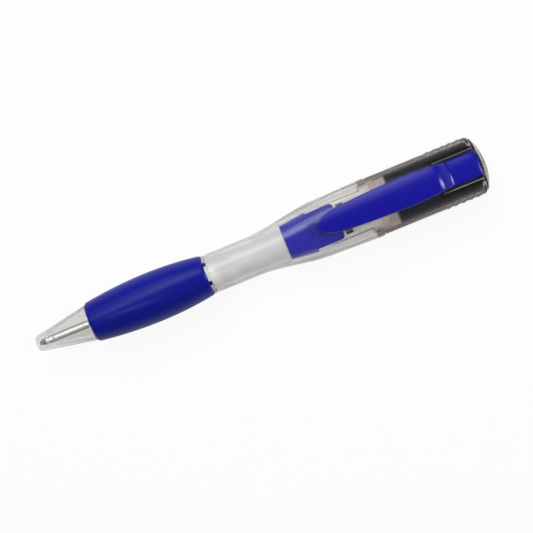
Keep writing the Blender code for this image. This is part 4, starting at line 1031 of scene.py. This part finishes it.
def frosted_plastic():
    """Barrel moulding: frosted neck, clear round the plug, hazy along its sides, with painted shade on its
    sides by the lip.
    """
    tint = (0.40, 0.32, 0.26)
    made, tree, shader = see_through("frosted_moulding", tint, 65.0, CLEAR_SHADE, 1.22, (0.6, 0.12))
    neck = (CAM_END - 0.3, CAM_END + 0.4)
    skin_depth = (5.8, 5.95)
    roughness = (0.45, 0.13)
    ends = along_pen(tree, neck, roughness), from_axis(tree, skin_depth, roughness)
    tree.links.new(worked_out(tree, "MINIMUM", *ends), shader.inputs["Roughness"])
    clearness = (0.6, 1.0)
    ends = along_pen(tree, neck, clearness), from_axis(tree, skin_depth, clearness)
    clear = worked_out(tree, "MAXIMUM", *ends)
    clear = worked_out(tree, "MINIMUM", clear, side_facing(tree, STEEP, (1.0, 0.85)))
    tree.links.new(clear, shader.inputs["Transmission Weight"])
    # Painted shade: a darker base colour on the steep sides from the spigot's start to the lip
    lip = along_pen(tree, (SPIGOT_START, SPIGOT_START + 0.6), (0.0, 1.0))
    shaded = worked_out(tree, "MINIMUM", lip, side_facing(tree, 0.55))
    two_tone(tree, shaded, WHITE, (0.16, 0.15, 0.18), shader)
    return made


def milky_plastic(name, first, second, clearness):
    """Unpigmented plastic that lets some light through."""
    made, tree, shader = principled(name, {"IOR": 1.5, "Transmission Weight": clearness, "Roughness": 0.5})
    two_tone(tree, grain(tree, 400.0), first, second, shader)
    relief(tree, grain(tree, 3000.0), 0.00002, shader, 0.2)
    let_light_through(tree, shader, (0.85, 0.85, 0.85))
    return made


def blue_rubber():
    """Satin rubber with a fine moulded grain."""
    made, tree, shader = principled("grip_rubber", {"Specular IOR Level": 0.17})
    blues = (0.006, 0.010, 0.26), (0.008, 0.012, 0.29)
    two_tone(tree, grain(tree, 260.0), *blues, shader)
    roughen(tree, grain(tree, 1500.0), 0.22, 0.30, shader)
    relief(tree, grain(tree, 5200.0, detail=2.0), 0.00002, shader, 0.08)
    return made


def blue_plastic(name, first, second, roughness):
    """Glossy moulded plastic with faint flow marks."""
    values = {"Coat Weight": 0.1, "Coat Roughness": 0.08, "Specular IOR Level": 0.4}
    made, tree, shader = principled(name, values)
    two_tone(tree, grain(tree, 130.0), first, second, shader)
    roughen(tree, grain(tree, 800.0), roughness - 0.03, roughness + 0.04, shader)
    relief(tree, grain(tree, 220.0, (0.35, 1.0, 1.0), 2.0), 0.00004, shader, 0.2)
    return made


def plain_plastic(name, first, second, roughness, gloss=0.45):
    """Moulded plastic with a slight mottle."""
    made, tree, shader = principled(name, {"Specular IOR Level": gloss})
    two_tone(tree, grain(tree, 400.0), first, second, shader)
    roughen(tree, grain(tree, 1500.0), roughness - 0.05, roughness + 0.06, shader)
    relief(tree, grain(tree, 3000.0), 0.00002, shader, 0.2)
    return made


def draw_out(tree, shader, roughness):
    """Fine marks along the metal."""
    stretch = (0.06, 1.0, 1.0)
    roughen(tree, grain(tree, 5000.0, stretch), roughness - 0.07, roughness + 0.08, shader)
    relief(tree, grain(tree, 6000.0, stretch), 0.00001, shader, 0.25)


def metal(name, first, second, roughness, metallic=1.0):
    """Drawn or plated metal."""
    made, tree, shader = principled(name, {"Metallic": metallic})
    two_tone(tree, grain(tree, 600.0), first, second, shader)
    draw_out(tree, shader, roughness)
    return made


def shaded_metal(name, bright, dark, roughness):
    """Bright metal with painted shade, darker where it turns down along its sides."""
    made, tree, shader = principled(name, {"Metallic": 0.8})
    two_tone(tree, side_facing(tree, 0.3), bright, dark, shader)
    draw_out(tree, shader, roughness)
    return made


def turned_point():
    """Turned metal, dark at the point and bright behind it."""
    made, tree, shader = principled("turned_point", {"Metallic": 0.85})
    bright = along_pen(tree, (TUBE_FRONT - 1.6, TUBE_FRONT - 1.0), (0.0, 1.0))
    two_tone(tree, bright, (0.30, 0.28, 0.265), (0.82, 0.79, 0.76), shader)
    roughen(tree, grain(tree, 5000.0), 0.28, 0.42, shader)
    return made


def board_black():
    """Black solder mask, raised over the copper tracks."""
    made, tree, shader = principled("solder_mask", {"Specular IOR Level": 0.5, "Coat Weight": 0.2})
    blacks = (0.008, 0.009, 0.012), (0.016, 0.018, 0.022)
    two_tone(tree, grain(tree, 500.0), *blacks, shader)
    roughen(tree, grain(tree, 900.0), 0.28, 0.40, shader)
    tracks = add_node(tree, "ShaderNodeTexBrick", {"Scale": 420.0, "Mortar Size": 0.06})
    lay_on(tree, tracks)
    relief(tree, tracks.outputs["Fac"], 0.00003, shader, 0.35)
    return made


FINISHES = {
    "clear_plastic": clear_plastic(),
    "frosted_plastic": frosted_plastic(),
    "smoke_plastic": smoke_plastic(),
    "blue_rubber": blue_rubber(),
    "blue_plastic": blue_plastic("clip_plastic", (0.007, 0.006, 0.33), (0.009, 0.008, 0.36), 0.22),
    "white_plastic": plain_plastic("white_moulding", (0.78, 0.77, 0.74), (0.84, 0.83, 0.80), 0.4),
    "grey_plastic": milky_plastic("natural_moulding", (0.50, 0.50, 0.51), (0.56, 0.56, 0.57), 0.45),
    "steel": metal("nickel_plate", (0.85, 0.81, 0.76), (0.91, 0.87, 0.82), 0.42, 0.8),
    "gold": metal("gold_plate", (0.82, 0.58, 0.22), (0.88, 0.66, 0.28), 0.24),
    "ink": plain_plastic("ink_paste", (0.004, 0.006, 0.05), (0.006, 0.008, 0.07), 0.25),
    "board_black": board_black(),
    "black_plastic": plain_plastic(
        "cover_moulding", (0.019, 0.021, 0.036), (0.026, 0.028, 0.048), 0.28, 0.15
    ),
    "chip_black": plain_plastic("chip_package", (0.017, 0.017, 0.019), (0.024, 0.024, 0.026), 0.5),
    "ceramic": plain_plastic("ceramic_body", (0.44, 0.30, 0.18), (0.52, 0.36, 0.22), 0.45),
    "led_lens": plain_plastic("led_moulding", (0.80, 0.78, 0.66), (0.88, 0.86, 0.76), 0.2),
}


# Pieces whose look differs from the rest of their slot
LOOKS = {
    "housing_bezel_fine": milky_plastic("bezel_moulding", (0.97, 0.94, 0.91), (0.99, 0.97, 0.94), 0.55),
    # The insert's blue is painted lighter than the clip's, to make up for light lost through the barrel
    "plug_holder_fine": blue_plastic("insert_plastic", (0.007, 0.007, 0.38), (0.009, 0.009, 0.42), 0.22),
    # The plate and the refill's tube below have painted shade along their sides
    "plug_shell_fine": shaded_metal("folded_plate", (0.88, 0.84, 0.79), (0.10, 0.09, 0.085), 0.42),
    "plug_tongue": plain_plastic("tongue_moulding", (0.012, 0.012, 0.014), (0.018, 0.018, 0.020), 0.4),
    "refill_tube_fine": shaded_metal("drawn_steel", (0.90, 0.87, 0.84), (0.16, 0.145, 0.135), 0.28),
    "refill_tip_fine": turned_point(),
}


# Dressing


def paint(name, piece, finish):
    """Give a piece the look under its name, or else that of its finish."""
    piece.data.materials.clear()
    piece.data.materials.append(LOOKS.get(name, FINISHES[finish]))


def dress(name, mesh, body, finish, *nodes):
    """A fine piece with its material, which rides on a body in place of CAD nodes."""
    piece = add_object(name, mesh)
    paint(name, piece, finish)
    if nodes:
        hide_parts(*nodes)
    if body:
        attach(piece, body)
    return piece


def dress_clip():
    """One springy moulding in place of the clip's arm and root."""
    piece = dress("clip", clip(), None, "blue_plastic", "clip_arm", "clip_root")
    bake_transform(piece)


def light_rim(housing):
    """Painted light: a paler finish on the slanted sides of the clip's pocket, standing in for the light
    along its rim.
    """
    values = {"Base Color": (0.55, 0.53, 0.52, 1.0), "Roughness": 0.4, "Transmission Weight": 0.3}
    housing.data.materials.append(principled("painted_rim_light", values)[0])
    low = spot(0.0, 0.0, RIM_LOW).z
    high = spot(0.0, 0.0, RIM_HIGH).z
    for face in housing.data.polygons:
        slanted = 0.3 < face.normal.z < 0.9 and abs(face.normal.y) > 0.3
        if slanted and low < face.center.z < high and abs(face.center.y) < (POCKET_HALF_WIDTH + RIM) * MM:
            face.material_index = 1


def dress_pen(frame):
    """Put the fine pieces in place and paint the nodes that stay."""
    for subpart in frame["record"]["subparts"]:
        name = subpart["node"]
        paint(name, frame["nodes"][name], subpart["material_slot"])
    fine = (
        (front_barrel, "writing_end", "clear_plastic"),
        (grip_sleeve, "writing_end", "blue_rubber"),
        (refill_tube, "refill", "steel"),
        (refill_tip, "refill", "steel"),
        (writing_ball, "ball", "steel"),
        (rear_barrel, "rear_barrel", "frosted_plastic"),
        (twist_cam_tube, "rear_barrel", "grey_plastic"),
        (plug_holder, "rear_barrel", "blue_plastic"),
        (drive_housing, "drive", "smoke_plastic"),
        (housing_bezel, "drive", "clear_plastic"),
        (plug_shell, "drive", "steel"),
        (core_cover, "drive", "black_plastic"),
        (circuit_board, "drive", "board_black"),
    )
    for make, body, finish in fine:
        node = make.__name__
        piece = dress(f"{node}_fine", make(), body, finish, node)
        if node == "drive_housing":
            light_rim(piece)
    for make in (capacitor_ends, solder_joints, controller_leads, flash_leads):
        dress(make.__name__, make(), "drive", "steel")
    dress_clip()


# Camera, floor and light


def set_camera():
    """The photograph's view: nearly straight down, with the pen turned in the picture."""
    target = Vector((0.00025, -0.00438, 0.00765))
    eye = target + Vector((0.0075, -0.017, 0.3595))
    turn = radians(22.3)
    forward = (target - eye).normalized()
    right = Vector((cos(turn), -sin(turn), 0.0))
    right = (right - forward * right.dot(forward)).normalized()
    up = right.cross(forward)
    data = bpy.data.cameras.new("camera")
    data.lens = 81.0
    data.sensor_width = 36.0
    data.clip_start = 0.01
    camera = add_object("camera", data)
    camera.matrix_world = Matrix.Translation(eye) @ Matrix((right, up, -forward)).transposed().to_4x4()
    bpy.context.scene.camera = camera


def seen_directly(tree, shares):
    """How far a surface shows plain white: a share for each kind of ray that looks at it."""
    path = tree.nodes.new("ShaderNodeLightPath")
    total = None
    for kind, share in shares.items():
        part = add_node(tree, "ShaderNodeMath", {1: share})
        part.operation = "MULTIPLY"
        tree.links.new(path.outputs[kind], part.inputs[0])
        seen = part.outputs["Value"]
        total = worked_out(tree, "MAXIMUM", total, seen) if total else seen
    return total


def set_floor():
    """Plain white floor that keeps a faint shadow."""
    shape = bmesh.new()
    bmesh.ops.create_grid(shape, x_segments=1, y_segments=1, size=0.6)
    mesh = finish_mesh(shape, "floor")
    floor = add_object("floor", mesh)
    floor.location.z = -0.0001
    made, tree, shader = principled("floor_white", {"Base Color": (0.9, 0.9, 0.9, 1.0), "Roughness": 0.8})
    white = add_node(tree, "ShaderNodeEmission", {"Color": (*WHITE, 1.0), "Strength": 1.0})
    shares = {"Is Camera Ray": 0.92, "Is Glossy Ray": 0.3, "Is Transmission Ray": 0.38}
    mix_shaders(tree, seen_directly(tree, shares), shader, white)
    mesh.materials.append(made)


def set_world():
    """Dim overhead and pale along the horizon, white to the camera and paler through plastic."""
    world = bpy.data.worlds.new("studio")
    bpy.context.scene.world = world
    world.use_nodes = True
    tree = world.node_tree
    shade = tree.nodes.new("ShaderNodeValToRGB")
    steps = shade.color_ramp.elements
    levels = ((0.0, 0.7), (0.08, 0.3), (0.3, 0.12), (1.0, 0.07))
    for height, _ in levels[1:-1]:
        steps.new(height)
    for step, (height, level) in zip(steps, levels):
        step.position = height
        step.color = (level, level, level, 1.0)
    tree.links.new(coordinate(tree, "Generated", "Z"), shade.inputs["Fac"])
    around = tree.nodes["Background"]
    tree.links.new(shade.outputs["Color"], around.inputs["Color"])
    white = add_node(tree, "ShaderNodeBackground", {"Color": (*WHITE, 1.0), "Strength": 1.0})
    shares = {"Is Camera Ray": 1.0, "Is Glossy Ray": 0.03, "Is Transmission Ray": 0.25}
    mix_shaders(tree, seen_directly(tree, shares), around, white, "World Output")


def add_lamp(name, place, size, power):
    """A soft rectangular lamp that faces the pen."""
    data = bpy.data.lights.new(name, "AREA")
    data.shape = "RECTANGLE"
    data.size, data.size_y = size
    data.energy = power
    lamp = add_object(name, data)
    lamp.location = place
    lamp.rotation_euler = Vector(place).to_track_quat("Z", "Y").to_euler()
    return lamp


def set_light():
    """A broad lamp with a bright middle, two small ones beyond the ends and a fill without highlights."""
    add_lamp("key", (-0.10, 0.30, 0.44), (0.50, 0.46), 0.55)
    add_lamp("key_middle", (-0.10, 0.20, 0.46), (0.50, 0.12), 0.42)
    add_lamp("strip", (-0.16, -0.115, 0.50), (0.16, 0.035), 0.14)
    add_lamp("glint", (0.45, -0.07, 0.40), (0.10, 0.24), 1.1)
    fill = add_lamp("fill", (0.0, 0.32, 0.42), (0.28, 0.28), 1.15)
    fill.visible_glossy = False
    fill.visible_transmission = False


def main():
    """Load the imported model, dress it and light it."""
    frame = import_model()
    set_camera()
    dress_pen(frame)
    set_floor()
    set_world()
    set_light()
    bpy.context.scene.view_settings.view_transform = "Standard"


main()
